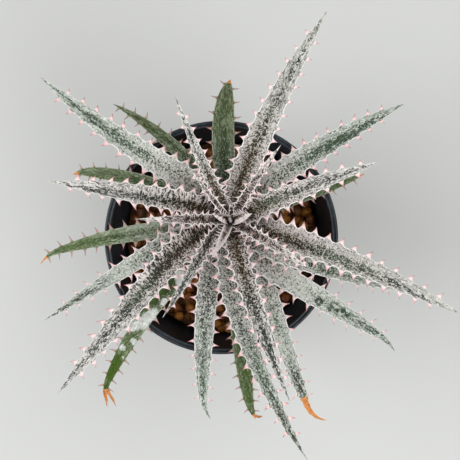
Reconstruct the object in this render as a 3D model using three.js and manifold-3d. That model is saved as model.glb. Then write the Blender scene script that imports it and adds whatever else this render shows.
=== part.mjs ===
// A dyckia, a stiff toothed bromeliad, growing in a round plastic nursery pot of clay granules.
// Millimetres, +Z up. The origin is the middle of the pot's underside.

import * as THREE from "three";
import Module from "manifold-3d";
import { mergeVertices } from "three/addons/utils/BufferGeometryUtils.js";

const wasm = await Module();
wasm.setup();

// ---- driving dimensions ----

const CLEARANCE = 0.3; // between touching pieces

// the pot: a thin tapered wall, a thicker rim band round its mouth, holes in its floor
const POT_HEIGHT = 86;
const POT_BASE_RADIUS = 36;
const POT_RIM_RADIUS = 50;
const POT_RIM_WIDTH = 2.8;
const POT_RIM_DEPTH = 7;
const POT_WALL = 1.4;
const POT_FLOOR = 1.8;
const POT_FOOT_ROUND = 1.5;
const RIM_STEP = 1.2; // the slope under the rim band, and the round of its outer edge
const POT_SEGMENTS = 60;
const DRAIN_HOLES = 6;
const DRAIN_HOLE_RADIUS = 4;
const DRAIN_RING_RADIUS = 22;
const DRAIN_HOLE_SIDES = 12;

// the fill of clay granules
const SOIL_LEVEL = 66; // the hollows between the granules on top
const GRANULE_RADIUS = 3.3;
const GRANULE_SPACING = 6.2;
const GRANULE_JITTER = 0.5; // share of the spacing
const GRANULE_LIFT = 2.4; // the highest that one granule lies above another
const SOIL_GRID = 34; // quads across the top

// the plant stands a little off the pot's middle
const PLANT_X = 4;
const PLANT_Y = 7;

// the stem tapers between the lowest and the topmost leaf
const STEM_FOOT = 50;
const STEM_LOW = 77;
const STEM_LOW_RADIUS = 4.2;
const STEM_TOP = 102;
const STEM_TOP_RADIUS = 1.2;
const STEM_POINT = 0.8; // the blunt point above the topmost leaf
const STEM_SIDES = 16;

// leaf sections
const SHOULDER = 0.35; // share of the length where heading and rise have their middle value
const CURL_START = 0.85; // share of the length where a curling tip begins to turn
const INNER_LINE = 0.62; // share of the half width where the flanks start
const SHEATH_END = 9; // up to this distance from the axis a leaf wraps round the stem
const BLADE_START = 26; // from this distance it is a free blade
const SHEATH_SPREAD = 0.65; // half width of the sheath for each mm from the axis
const SHEATH_THICKNESS = 0.8;
const THICKNESS_BASE = 0.7; // a blade is this thick, and thicker by a share of its width
const THICKNESS_SHARE = 0.085;
const CHANNEL_FLAT = 0.2; // depth of the channel in half widths, on the low old leaves
const CHANNEL_DEEP = 0.45; // and on the steep young ones
const TIP_DROP = 0.2; // the point of a leaf lies this far under its upper face
const CENTRELINE_STEPS = 120;

// the teeth, on the widest leaves; on narrow ones they are smaller and closer
const NARROW_LEAF = 4;
const WIDE_LEAF = 10;
const TOOTH_PITCH = 5.3;
const NARROW_PITCH = 4.3;
const NARROW_TOOTH = 0.75; // size of a narrow leaf's teeth beside a wide leaf's
const TIP_TOOTH = 0.68; // size of the teeth at the tip beside those at the base
const TOOTH_LENGTH = 3.1;
const TOOTH_ROOT = 1.3; // half width of a tooth's root
const TOOTH_LEAN = 0.9; // towards the tip
const TOOTH_LIFT = 0.3;
const TOOTH_STAGGER = 0.9; // the two edges' teeth are shifted along the leaf by this, either way
const TOOTH_START = 15; // distance from the axis to the first tooth
const TOOTHLESS_TIP = 0.13; // share of the length
const TOOTHLESS_LEAF = 20; // a leaf shorter than this has no teeth

// Leaves from the oldest to the youngest. Each has the height of its base on the stem, its length
// and greatest width; its heading, in degrees counter-clockwise from +X, and its rise above the
// horizontal, each at the base, the shoulder and the tip; the turn of its tip; and how full its
// outline stays towards the tip.
const SILVERLESS_LEAVES = 8; // the oldest leaves, which are green; the rest are silvery
const LEAVES = [
  { height: 77.5, length: 88, width: 7.5, heading: [273, 275, 281], rise: [27, 11, -36], curl: 15, full: 6 },
  { height: 78.0, length: 72, width: 6, heading: [147, 160, 178], rise: [28, 12, -30], curl: 20, full: 9 },
  { height: 79.0, length: 101, width: 8.5, heading: [224, 230, 248], rise: [28, 11, -42], curl: 40, full: 3 },
  { height: 79.6, length: 72, width: 7, heading: [119, 132, 152], rise: [28, 12, -30], curl: 0, full: 3 },
  { height: 80.3, length: 86, width: 8.5, heading: [187, 187, 200], rise: [28, 11, -32], curl: 35, full: 2.6 },
  { height: 80.6, length: 98.6, width: 8.8, heading: [306, 286, 294], rise: [28, 12, -32], curl: 60, full: 3 },
  { height: 81.2, length: 60, width: 10, heading: [96, 96, 78], rise: [28, 13, -28], curl: -10, full: 7 },
  { height: 81.8, length: 59, width: 4.5, heading: [17, 19, 22], rise: [22, 10, -22], curl: 0, full: 6 },
  { height: 82.2, length: 87, width: 9.8, heading: [243, 264, 273], rise: [30, 14, -28], curl: 30, full: 3.2 },
  { height: 83.2, length: 89.4, width: 11, heading: [302, 329, 328], rise: [29, 12, -22], curl: -25, full: 2.8 },
  { height: 83.6, length: 89, width: 8.8, heading: [190, 213, 212], rise: [31, 15, -20], curl: 0, full: 2.6 },
  { height: 85.2, length: 83, width: 8.2, heading: [316, 343, 346], rise: [34, 18, -16], curl: 0, full: 2.8 },
  { height: 85.5, length: 87.6, width: 11, heading: [51, 33, 25], rise: [38, 22, -8], curl: 0, full: 2.8 },
  { height: 86.0, length: 99, width: 11.5, heading: [132, 150, 139], rise: [39, 22, -10], curl: 0, full: 2.6 },
  { height: 86.3, length: 106, width: 9, heading: [260, 289, 302], rise: [36, 20, -10], curl: 0, full: 2.6 },
  { height: 87.3, length: 104.2, width: 11, heading: [346, 339, 331], rise: [43, 25, -4], curl: 0, full: 2.6 },
  { height: 87.9, length: 102.8, width: 12, heading: [200, 231, 230], rise: [44, 27, -2], curl: 0, full: 2.4 },
  { height: 88.5, length: 96, width: 12, heading: [77, 66, 58], rise: [45, 29, 0], curl: 0, full: 2.4 },
  { height: 89.3, length: 81, width: 8.8, heading: [281, 288, 292], rise: [47, 32, 4], curl: 0, full: 2.6 },
  { height: 90.0, length: 79.4, width: 9.8, heading: [151, 171, 173], rise: [46, 30, 4], curl: 0, full: 2.6 },
  { height: 91.0, length: 69, width: 9.5, heading: [25, 23, 17], rise: [49, 33, 6], curl: 0, full: 2.4 },
  { height: 92.0, length: 56, width: 5.2, heading: [216, 242, 236], rise: [56, 43, 18], curl: 0, full: 2.6 },
  { height: 93.0, length: 63.2, width: 5.6, heading: [115, 117, 110], rise: [57, 43, 16], curl: 0, full: 2.6 },
  { height: 93.8, length: 48, width: 4.8, heading: [332, 329, 323], rise: [60, 47, 24], curl: 0, full: 2.6 },
  { height: 95.0, length: 50, width: 4.8, heading: [174, 182, 179], rise: [63, 51, 28], curl: 0, full: 2.6 },
  { height: 96.0, length: 49, width: 4.4, heading: [60, 58, 52], rise: [65, 53, 30], curl: 0, full: 2.6 },
  { height: 97.4, length: 39, width: 3, heading: [130, 130, 125], rise: [70, 59, 38], curl: 0, full: 2.6 },
  { height: 98.2, length: 28, width: 3.2, heading: [246, 246, 236], rise: [73, 62, 44], curl: 0, full: 2.4 },
];

// The last leaves in the heart, small, steep and folded.
const HEART_LEAVES = [
  { height: 99.4, length: 15, width: 3.2, heading: [84, 90, 100], rise: [76, 66, 50], curl: 0, full: 2 },
  { height: 100.2, length: 13, width: 3.6, heading: [168, 160, 150], rise: [76, 64, 48], curl: 0, full: 2 },
  { height: 101.0, length: 14.6, width: 4.4, heading: [10, 17, 27], rise: [76, 62, 46], curl: 0, full: 2 },
];

// ---- small helpers ----

const radians = THREE.MathUtils.degToRad;
const lerp = THREE.MathUtils.lerp;
const smoothstep = THREE.MathUtils.smoothstep;

/** Pseudo-random numbers from 0 to 1 that are the same each run. */
function seededRandom(seed) {
  let state = seed;
  return () => {
    state = (state * 1664525 + 1013904223) % 4294967296;
    return state / 4294967296;
  };
}

/** A closed geometry with position only, its shared vertices merged and its empty faces dropped. */
function closedGeometry(geometry) {
  const bare = geometry.clone();
  bare.deleteAttribute("normal");
  bare.deleteAttribute("uv");
  const merged = mergeVertices(bare, 1e-4);
  const index = merged.index.array;
  const kept = [];
  for (let i = 0; i < index.length; i += 3) {
    const [a, b, c] = index.slice(i, i + 3);
    if (a !== b && b !== c && a !== c) kept.push(a, b, c);
  }
  merged.setIndex(kept);
  return merged;
}

function solidOf(geometry) {
  const closed = closedGeometry(geometry);
  return new wasm.Manifold(
    new wasm.Mesh({
      numProp: 3,
      vertProperties: new Float32Array(closed.attributes.position.array),
      triVerts: new Uint32Array(closed.index.array),
    }),
  );
}

function geometryOf(solid) {
  const { vertProperties, triVerts } = solid.getMesh();
  const geometry = new THREE.BufferGeometry();
  geometry.setAttribute("position", new THREE.BufferAttribute(vertProperties, 3));
  geometry.setIndex(new THREE.BufferAttribute(triVerts, 1));
  return geometry;
}

/** The geometry of one closed body from its corners and its faces, as triples of corner numbers. */
function indexedGeometry(corners, faces) {
  const geometry = new THREE.BufferGeometry();
  const positions = corners.flatMap((p) => [p.x, p.y, p.z]);
  geometry.setAttribute("position", new THREE.Float32BufferAttribute(positions, 3));
  geometry.setIndex(faces.flat());
  return geometry;
}

function uprightCylinder(radius, low, high, x, y, sides) {
  return new THREE.CylinderGeometry(radius, radius, high - low, sides)
    .rotateX(Math.PI / 2)
    .translate(x, y, (low + high) / 2);
}

/** A solid turned round Z from its half outline of [radius, height] points. */
function turned(outline, segments) {
  const points = outline.map(([radius, height]) => new THREE.Vector2(radius, height));
  return new THREE.LatheGeometry(points, segments).rotateX(Math.PI / 2);
}

// ---- the pot and its fill ----

const POT_INNER_MOUTH = POT_RIM_RADIUS - POT_RIM_WIDTH;
const POT_INNER_BASE = POT_BASE_RADIUS - POT_WALL;
const POT_BODY_TOP = POT_INNER_MOUTH + POT_WALL;

/** Radius of the inside of the pot's wall at a height. */
function potInside(height) {
  return lerp(POT_INNER_BASE, POT_INNER_MOUTH, (height - POT_FLOOR) / (POT_HEIGHT - POT_FLOOR));
}

function potGeometry() {
  const rimLow = POT_HEIGHT - POT_RIM_DEPTH;
  const outline = [
    [0, 0],
    [POT_BASE_RADIUS - POT_FOOT_ROUND, 0],
    [POT_BASE_RADIUS, POT_FOOT_ROUND],
    [POT_BODY_TOP - RIM_STEP / 2, rimLow - RIM_STEP],
    [POT_RIM_RADIUS - RIM_STEP / 2, rimLow],
    [POT_RIM_RADIUS, POT_HEIGHT - RIM_STEP],
    [POT_RIM_RADIUS - RIM_STEP / 2, POT_HEIGHT - RIM_STEP / 6],
    [POT_RIM_RADIUS - POT_RIM_WIDTH / 2, POT_HEIGHT],
    [POT_INNER_MOUTH + RIM_STEP / 4, POT_HEIGHT - RIM_STEP / 6],
    [POT_INNER_MOUTH, POT_HEIGHT - RIM_STEP],
    [POT_INNER_BASE, POT_FLOOR],
    [0, POT_FLOOR],
  ];
  const past = 1; // a hole's cutter runs past both faces of the floor
  let pot = solidOf(turned(outline, POT_SEGMENTS));
  for (let i = 0; i < DRAIN_HOLES; i++) {
    const angle = (i / DRAIN_HOLES) * 2 * Math.PI;
    const x = DRAIN_RING_RADIUS * Math.cos(angle);
    const y = DRAIN_RING_RADIUS * Math.sin(angle);
    const cutter = uprightCylinder(DRAIN_HOLE_RADIUS, -past, POT_FLOOR + past, x, y, DRAIN_HOLE_SIDES);
    pot = pot.subtract(solidOf(cutter));
  }
  return geometryOf(pot);
}

/** Middles of the granules on top of the fill: a jittered honeycomb. */
function granules() {
  const random = seededRandom(11);
  const found = [];
  const reach = potInside(SOIL_LEVEL);
  const row = GRANULE_SPACING * Math.sin(Math.PI / 3);
  const rows = Math.ceil(reach / row);
  const jitter = () => (random() - 0.5) * GRANULE_JITTER * GRANULE_SPACING;
  for (let j = -rows; j <= rows; j++) {
    for (let i = -rows; i <= rows; i++) {
      const x = (i + (j % 2) / 2) * GRANULE_SPACING + jitter();
      const y = j * row + jitter();
      const lift = random() * GRANULE_LIFT;
      if (Math.hypot(x, y) < reach - 1) found.push({ x, y, lift });
    }
  }
  return found;
}

/** Height of the fill's surface, domed over each granule. */
function soilHeight(x, y, stones) {
  let height = 0;
  for (const stone of stones) {
    const away = Math.hypot(x - stone.x, y - stone.y);
    if (away < GRANULE_RADIUS) {
      height = Math.max(height, stone.lift + Math.sqrt(GRANULE_RADIUS ** 2 - away ** 2));
    }
  }
  return SOIL_LEVEL + height - GRANULE_RADIUS / 2;
}

/** A point of the unit square laid on the unit disc, keeping the grid even. */
function squareToDisc(u, v) {
  return [u * Math.sqrt(1 - (v * v) / 2), v * Math.sqrt(1 - (u * u) / 2)];
}

function soilGeometry() {
  const stones = granules();
  const topRadius = potInside(SOIL_LEVEL) - CLEARANCE;
  const floorHeight = POT_FLOOR + CLEARANCE;
  const floorRadius = potInside(floorHeight) - CLEARANCE;
  const corners = [];
  const faces = [];
  const side = SOIL_GRID + 1;
  for (let j = 0; j < side; j++) {
    for (let i = 0; i < side; i++) {
      const [x, y] = squareToDisc((2 * i) / SOIL_GRID - 1, (2 * j) / SOIL_GRID - 1);
      const onEdge = i === 0 || j === 0 || i === SOIL_GRID || j === SOIL_GRID;
      const height = onEdge ? SOIL_LEVEL : soilHeight(x * topRadius, y * topRadius, stones);
      corners.push(new THREE.Vector3(x * topRadius, y * topRadius, height));
    }
  }
  const at = (i, j) => j * side + i;
  for (let j = 0; j < SOIL_GRID; j++) {
    for (let i = 0; i < SOIL_GRID; i++) {
      faces.push([at(i, j), at(i + 1, j), at(i + 1, j + 1)], [at(i, j), at(i + 1, j + 1), at(i, j + 1)]);
    }
  }
  // the wall of the fill, from the edge of the top down to the floor, and its flat underside
  const edge = [];
  for (let i = 0; i < SOIL_GRID; i++) edge.push(at(i, 0));
  for (let j = 0; j < SOIL_GRID; j++) edge.push(at(SOIL_GRID, j));
  for (let i = SOIL_GRID; i > 0; i--) edge.push(at(i, SOIL_GRID));
  for (let j = SOIL_GRID; j > 0; j--) edge.push(at(0, j));
  const first = corners.length;
  const scale = floorRadius / topRadius;
  for (const e of edge) {
    corners.push(new THREE.Vector3(corners[e].x * scale, corners[e].y * scale, floorHeight));
  }
  const middle = corners.push(new THREE.Vector3(0, 0, floorHeight)) - 1;
  edge.forEach((upper, k) => {
    const next = (k + 1) % edge.length;
    faces.push([upper, first + k, edge[next]], [edge[next], first + k, first + next]);
    faces.push([first + k, middle, first + next]);
  });
  const holeRadius = STEM_LOW_RADIUS + CLEARANCE;
  const holeFoot = STEM_FOOT - CLEARANCE;
  const hole = uprightCylinder(holeRadius, holeFoot, POT_HEIGHT, PLANT_X, PLANT_Y, STEM_SIDES);
  return geometryOf(solidOf(indexedGeometry(corners, faces)).subtract(solidOf(hole)));
}

// ---- the stem ----

/** Radius of the stem at a height. */
function stemRadius(height) {
  const share = THREE.MathUtils.clamp((height - STEM_LOW) / (STEM_TOP - STEM_LOW), 0, 1);
  return lerp(STEM_LOW_RADIUS, STEM_TOP_RADIUS, share);
}

function stemGeometry() {
  const outline = [
    [0, STEM_FOOT],
    [STEM_LOW_RADIUS - 1, STEM_FOOT],
    [STEM_LOW_RADIUS, STEM_FOOT + 1],
    [STEM_LOW_RADIUS, STEM_LOW],
    [STEM_TOP_RADIUS, STEM_TOP],
    [0, STEM_TOP + STEM_POINT],
  ];
  return closedGeometry(turned(outline, STEM_SIDES)).translate(PLANT_X, PLANT_Y, 0);
}

// ---- the leaves ----

/** The value at a share of the leaf's length, from its values at the base, shoulder and tip. */
function along([base, shoulder, tip], share) {
  return share < SHOULDER
    ? lerp(base, shoulder, share / SHOULDER)
    : lerp(shoulder, tip, (share - SHOULDER) / (1 - SHOULDER));
}

/** Points down the middle of a leaf, with heading and rise, from the stem's side to the tip. */
function centreline(leaf) {
  const step = leaf.length / CENTRELINE_STEPS;
  const start = stemRadius(leaf.height) + CLEARANCE;
  const angle = radians(leaf.heading[0]);
  const point = new THREE.Vector3(start * Math.cos(angle), start * Math.sin(angle), leaf.height);
  const points = [];
  for (let i = 0; i <= CENTRELINE_STEPS; i++) {
    const share = i / CENTRELINE_STEPS;
    const turn = leaf.curl * Math.max(0, (share - CURL_START) / (1 - CURL_START));
    const heading = radians(along(leaf.heading, share) + turn);
    const rise = radians(along(leaf.rise, share));
    points.push({ point: point.clone(), heading, rise });
    point.x += step * Math.cos(rise) * Math.cos(heading);
    point.y += step * Math.cos(rise) * Math.sin(heading);
    point.z += step * Math.sin(rise);
  }
  return points;
}

/** The sizes of a leaf's section at a share of its length. */
function sectionAt(leaf, line, share) {
  const exact = THREE.MathUtils.clamp(share, 0, 1) * CENTRELINE_STEPS;
  const i = Math.min(Math.floor(exact), CENTRELINE_STEPS - 1);
  const [a, b] = [line[i], line[i + 1]];
  const point = a.point.clone().lerp(b.point, exact - i);
  const heading = lerp(a.heading, b.heading, exact - i);
  const rise = lerp(a.rise, b.rise, exact - i);
  const away = Math.hypot(point.x, point.y);
  const free = smoothstep(away, SHEATH_END, BLADE_START);
  const blade = (leaf.width / 2) * (1 - share ** leaf.full);
  const half = Math.min(blade, SHEATH_SPREAD * away + CLEARANCE);
  const bladeThickness = THICKNESS_BASE + THICKNESS_SHARE * leaf.width * (1 - share);
  const sheathThickness = Math.min(SHEATH_THICKNESS, bladeThickness);
  const thickness = lerp(sheathThickness, bladeThickness, smoothstep(away, 8, 20));
  const channel = half * lerp(CHANNEL_FLAT, CHANNEL_DEEP, smoothstep(leaf.rise[1], 30, 50));
  return { point, heading, rise, away, free, half, thickness, channel };
}

/** The place of a point at a sideways offset and a height above the leaf's middle. Close to the
 * axis the sideways offset runs round it, so that the bases of the leaves nest as cones do. */
function placed(section, sideways, above) {
  const { point, heading, rise, away, free } = section;
  const flat = new THREE.Vector3(
    point.x - sideways * Math.sin(heading) - above * Math.sin(rise) * Math.cos(heading),
    point.y + sideways * Math.cos(heading) - above * Math.sin(rise) * Math.sin(heading),
    point.z + above * Math.cos(rise),
  );
  const angle = Math.atan2(point.y, point.x) + sideways / away;
  const reach = away - above * Math.sin(rise);
  const wrapped = new THREE.Vector3(
    reach * Math.cos(angle),
    reach * Math.sin(angle),
    point.z + above * Math.cos(rise),
  );
  return wrapped.lerp(flat, free).add(new THREE.Vector3(PLANT_X, PLANT_Y, 0));
}

/** Height of the leaf's upper face at a share of its half width. The edges are turned up. */
function upperFace(section, across) {
  return section.channel * section.free * across * across;
}

/** From 0 on a narrow leaf to 1 on a wide one. */
function wideness(leaf) {
  return smoothstep(leaf.width, NARROW_LEAF, WIDE_LEAF);
}

/** Shares of the length where a leaf's sections stand, and whether teeth grow there. */
function stations(leaf, line) {
  const bare = (share) => ({ share, toothed: false });
  if (leaf.length < TOOTHLESS_LEAF) return [0, 0.3, 0.6, 0.85].map(bare);
  const away = (share) => sectionAt(leaf, line, share).away;
  let first = 0;
  while (first < 0.6 && away(first) < TOOTH_START) first += 0.01;
  const last = 1 - TOOTHLESS_TIP;
  const pitch = lerp(NARROW_PITCH, TOOTH_PITCH, wideness(leaf));
  const teeth = Math.max(2, Math.round(((last - first) * leaf.length) / pitch));
  const found = [0, first / 3, (first * 2) / 3].map(bare);
  for (let i = 0; i < teeth; i++) {
    found.push({ share: lerp(first, last, i / (teeth - 1)), toothed: true });
  }
  found.push(bare(lerp(last, 1, 0.45)));
  return found;
}

/** The corners of one edge at a station: a single one, or the two roots and the point of a tooth. */
function edgeCorners(leaf, line, station, side) {
  const onEdge = (share) => {
    const section = sectionAt(leaf, line, share);
    return placed(section, side * section.half, upperFace(section, 1));
  };
  if (!station.toothed) return [onEdge(station.share)];
  const middle = station.share + (side * TOOTH_STAGGER) / leaf.length;
  const size = lerp(NARROW_TOOTH, 1, wideness(leaf)) * lerp(1, TIP_TOOTH, station.share);
  const root = (TOOTH_ROOT * size) / leaf.length;
  const section = sectionAt(leaf, line, middle + (TOOTH_LEAN * size) / leaf.length);
  const sideways = side * (section.half + TOOTH_LENGTH * size);
  const point = placed(section, sideways, upperFace(section, 1) + TOOTH_LIFT * size);
  return [onEdge(middle - root), point, onEdge(middle + root)];
}

/** One closed leaf: an eight-cornered section at each station, with a tooth on each edge. */
function leafGeometry(leaf) {
  const line = centreline(leaf);
  const corners = [];
  const faces = [];
  const add = (point) => corners.push(point) - 1;
  const rings = stations(leaf, line).map((station) => {
    const section = sectionAt(leaf, line, station.share);
    const inner = INNER_LINE * section.half;
    const flank = upperFace(section, INNER_LINE);
    const under = section.thickness * (1 - INNER_LINE ** 2);
    return {
      left: edgeCorners(leaf, line, station, 1).map(add),
      right: edgeCorners(leaf, line, station, -1).map(add),
      upper: [
        add(placed(section, inner, flank)),
        add(placed(section, 0, 0)),
        add(placed(section, -inner, flank)),
      ],
      lower: [
        add(placed(section, inner, flank - under)),
        add(placed(section, 0, -section.thickness)),
        add(placed(section, -inner, flank - under)),
      ],
    };
  });
  const quad = (a, b, c, d) => faces.push([a, b, c], [a, c, d]);
  const tooth = (from, to, upper, lower) => faces.push([upper, to, from], [lower, from, to]);
  rings.forEach((ring, k) => {
    for (let i = 0; i + 1 < ring.left.length; i++) {
      tooth(ring.left[i], ring.left[i + 1], ring.upper[0], ring.lower[0]);
      tooth(ring.right[i + 1], ring.right[i], ring.upper[2], ring.lower[2]);
    }
    if (k + 1 === rings.length) return;
    const next = rings[k + 1];
    for (const i of [0, 1]) {
      quad(ring.upper[i], ring.upper[i + 1], next.upper[i + 1], next.upper[i]);
      quad(ring.lower[i + 1], ring.lower[i], next.lower[i], next.lower[i + 1]);
    }
    quad(ring.left.at(-1), ring.upper[0], next.upper[0], next.left[0]);
    quad(ring.lower[0], ring.left.at(-1), next.left[0], next.lower[0]);
    quad(ring.upper[2], ring.right.at(-1), next.right[0], next.upper[2]);
    quad(ring.right.at(-1), ring.lower[2], next.lower[2], next.right[0]);
  });
  // the base is closed across its thickness, and the last ring runs out to the point
  const base = rings[0];
  faces.push([base.left[0], base.lower[0], base.upper[0]]);
  for (const i of [0, 1]) quad(base.upper[i], base.lower[i], base.lower[i + 1], base.upper[i + 1]);
  faces.push([base.right[0], base.upper[2], base.lower[2]]);
  const end = rings.at(-1);
  const tip = add(placed(sectionAt(leaf, line, 1), 0, -TIP_DROP));
  const last = [end.left.at(-1), ...end.upper, end.right.at(-1), end.lower[2], end.lower[1], end.lower[0]];
  last.forEach((corner, i) => faces.push([corner, last[(i + 1) % last.length], tip]));
  return indexedGeometry(corners, faces);
}

// ---- the whole plant in its pot ----

const black = new THREE.MeshStandardMaterial({ color: 0x23282c, roughness: 0.5, metalness: 0 });
const clay = new THREE.MeshStandardMaterial({ color: 0x5a371a, roughness: 0.9, metalness: 0 });
const bark = new THREE.MeshStandardMaterial({ color: 0x6b5640, roughness: 0.9, metalness: 0 });
const green = new THREE.MeshStandardMaterial({ color: 0x45582f, roughness: 0.7, metalness: 0 });
const silver = new THREE.MeshStandardMaterial({ color: 0xa9aea5, roughness: 0.8, metalness: 0 });

const plant = new THREE.Group();

function addPiece(name, geometry, material) {
  const mesh = new THREE.Mesh(geometry, material);
  mesh.name = name;
  plant.add(mesh);
}

addPiece("pot", potGeometry(), black);
addPiece("soil", soilGeometry(), clay);
addPiece("stem", stemGeometry(), bark);
LEAVES.forEach((leaf, i) => {
  const name = "leaf_" + String(i + 1).padStart(2, "0");
  addPiece(name, leafGeometry(leaf), i < SILVERLESS_LEAVES ? green : silver);
});
HEART_LEAVES.forEach((leaf, i) => addPiece("heart_leaf_" + (i + 1), leafGeometry(leaf), silver));

export default plant;
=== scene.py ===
"""The looks of a silver-scaled dyckia in its nursery pot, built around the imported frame.

Sizes are in millimetres, in the frame's own axes, until a mesh is made, which is in metres.
"""

import logging
import math
from dataclasses import dataclass, field
from enum import Enum

import bmesh
import bpy
import numpy as np
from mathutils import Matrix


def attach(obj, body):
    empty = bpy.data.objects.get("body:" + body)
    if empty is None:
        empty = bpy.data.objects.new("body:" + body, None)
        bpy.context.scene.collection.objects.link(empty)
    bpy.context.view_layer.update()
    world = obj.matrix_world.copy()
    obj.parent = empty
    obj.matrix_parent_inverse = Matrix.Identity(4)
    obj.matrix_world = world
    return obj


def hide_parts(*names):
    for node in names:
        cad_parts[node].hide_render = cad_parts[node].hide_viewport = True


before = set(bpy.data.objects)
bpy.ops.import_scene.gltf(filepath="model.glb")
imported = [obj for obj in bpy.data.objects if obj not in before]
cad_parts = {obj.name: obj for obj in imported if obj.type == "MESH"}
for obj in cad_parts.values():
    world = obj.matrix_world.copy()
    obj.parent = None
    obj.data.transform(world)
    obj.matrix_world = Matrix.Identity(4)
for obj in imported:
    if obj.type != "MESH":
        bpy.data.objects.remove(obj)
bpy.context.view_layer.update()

METRES = 0.001  # metres in a millimetre
BODY = "root"
NONE = 1e-6  # mm; a length under this is none

Socket = bpy.types.NodeSocket
Value = float | tuple | Socket  # what a node's input takes
Numbers = float | np.ndarray

log = logging.getLogger("dyckia")


# ---- small helpers ----


def lerp(low: Numbers, high: Numbers, share: Numbers) -> Numbers:
    """Returns the value at a share of the way from low to high."""
    return low + (high - low) * share


def smoothstep(value: Numbers, low: float, high: float) -> Numbers:
    """Returns 0 below low, 1 above high and a smooth rise between."""
    share = np.clip((value - low) / (high - low), 0.0, 1.0)
    return share * share * (3 - 2 * share)


def linear(colour: str) -> tuple[float, float, float, float]:
    """Turns an sRGB hex colour, such as "#8a5a20", into linear RGBA."""
    channels = [int(colour[i : i + 2], 16) / 255 for i in (1, 3, 5)]
    flat = [c / 12.92 if c <= 0.04045 else ((c + 0.055) / 1.055) ** 2.4 for c in channels]
    return (*flat, 1.0)


def new_object(name: str, corners: np.ndarray, faces: list) -> bpy.types.Object:
    """Makes a smooth mesh object from corners in millimetres.

    Args:
        name: The piece's name.
        corners: One row of x, y, z for each corner.
        faces: Tuples of corner numbers.

    Returns:
        The linked object, with its faces pointing out.
    """
    mesh = bpy.data.meshes.new(name)
    mesh.from_pydata((np.asarray(corners) * METRES).tolist(), [], faces)
    mesh.update()
    sculpt = bmesh.new()
    sculpt.from_mesh(mesh)
    bmesh.ops.recalc_face_normals(sculpt, faces=sculpt.faces)
    sculpt.to_mesh(mesh)
    sculpt.free()
    mesh.polygons.foreach_set("use_smooth", [True] * len(mesh.polygons))
    piece = bpy.data.objects.new(name, mesh)
    bpy.context.scene.collection.objects.link(piece)
    return piece


def give_values(piece: bpy.types.Object, name: str, values: np.ndarray) -> None:
    """Stores a number or a vector for each corner, which the piece's material reads by name."""
    kind, slot = ("FLOAT", "value") if values.ndim == 1 else ("FLOAT_VECTOR", "vector")
    layer = piece.data.attributes.new(name, kind, "POINT")
    layer.data.foreach_set(slot, values.ravel())


def finish_piece(piece: bpy.types.Object, node: str, material: bpy.types.Material) -> None:
    """Dresses a piece, lets it ride on the body and stand for its CAD node.

    Args:
        piece: The piece.
        node: The CAD node that it replaces.
        material: The material that it wears.
    """
    piece.data.materials.append(material)
    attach(piece, BODY)
    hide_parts(node)
    log.info("%s: %d faces for node %s", piece.name, len(piece.data.polygons), node)


def turned(outline: list, segments: int) -> tuple[np.ndarray, list]:
    """Turns an outline of (radius, height) points round Z.

    Args:
        outline: Points from the axis round the outside and back to the axis.
        segments: Number of steps round the axis.

    Returns:
        The corners and the faces. A point on the axis is one corner only.
    """
    angles = [2 * math.pi * k / segments for k in range(segments)]
    corners, rings = [], []
    for radius, height in outline:
        if radius < NONE:
            rings.append([len(corners)] * segments)
            corners.append((0.0, 0.0, height))
        else:
            rings.append(list(range(len(corners), len(corners) + segments)))
            corners += [(radius * math.cos(a), radius * math.sin(a), height) for a in angles]
    faces = []
    for lower, upper in zip(rings, rings[1:]):
        for k in range(segments):
            after = (k + 1) % segments
            faces.append(tuple(dict.fromkeys((lower[k], lower[after], upper[after], upper[k]))))
    return np.array(corners), [face for face in faces if len(face) > 2]


# ---- materials ----

BLEND = {"out": 2, "data_type": "RGBA"}  # for a node that mixes the colours 6 and 7
SMOOTH = {"interpolation_type": "SMOOTHSTEP"}  # for a node that maps a range, to ease in and out


class Graph:
    """The nodes of one material."""

    def __init__(self, name: str) -> None:
        """Starts a material of a name."""
        self.material = bpy.data.materials.new(name)
        self.material.use_nodes = True
        self.tree = self.material.node_tree

    def fill(self, node: bpy.types.Node, inputs: dict) -> None:
        """Gives a node's inputs their values, or links from other nodes' outputs."""
        for key, value in inputs.items():
            if isinstance(value, Socket):
                self.tree.links.new(value, node.inputs[key])
            else:
                node.inputs[key].default_value = value

    def put(self, kind: str, inputs: dict | tuple = (), out: int | str = 0, **settings: str | bool) -> Socket:
        """Adds a node with its settings and its links.

        Args:
            kind: The node's type, such as "TexNoise".
            inputs: Values or other nodes' outputs, in the order of its inputs, or by name or number.
            out: Name or number of the output to return.
            **settings: Properties of the node.

        Returns:
            One of its outputs.
        """
        node = self.tree.nodes.new("ShaderNode" + kind)
        for name, value in settings.items():
            setattr(node, name, value)
        self.fill(node, inputs if isinstance(inputs, dict) else dict(enumerate(inputs)))
        return node.outputs[out]

    def done(self, inputs: dict) -> bpy.types.Material:
        """Gives the shader its inputs, and returns the material."""
        self.fill(self.tree.nodes["Principled BSDF"], inputs)
        return self.material


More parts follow.
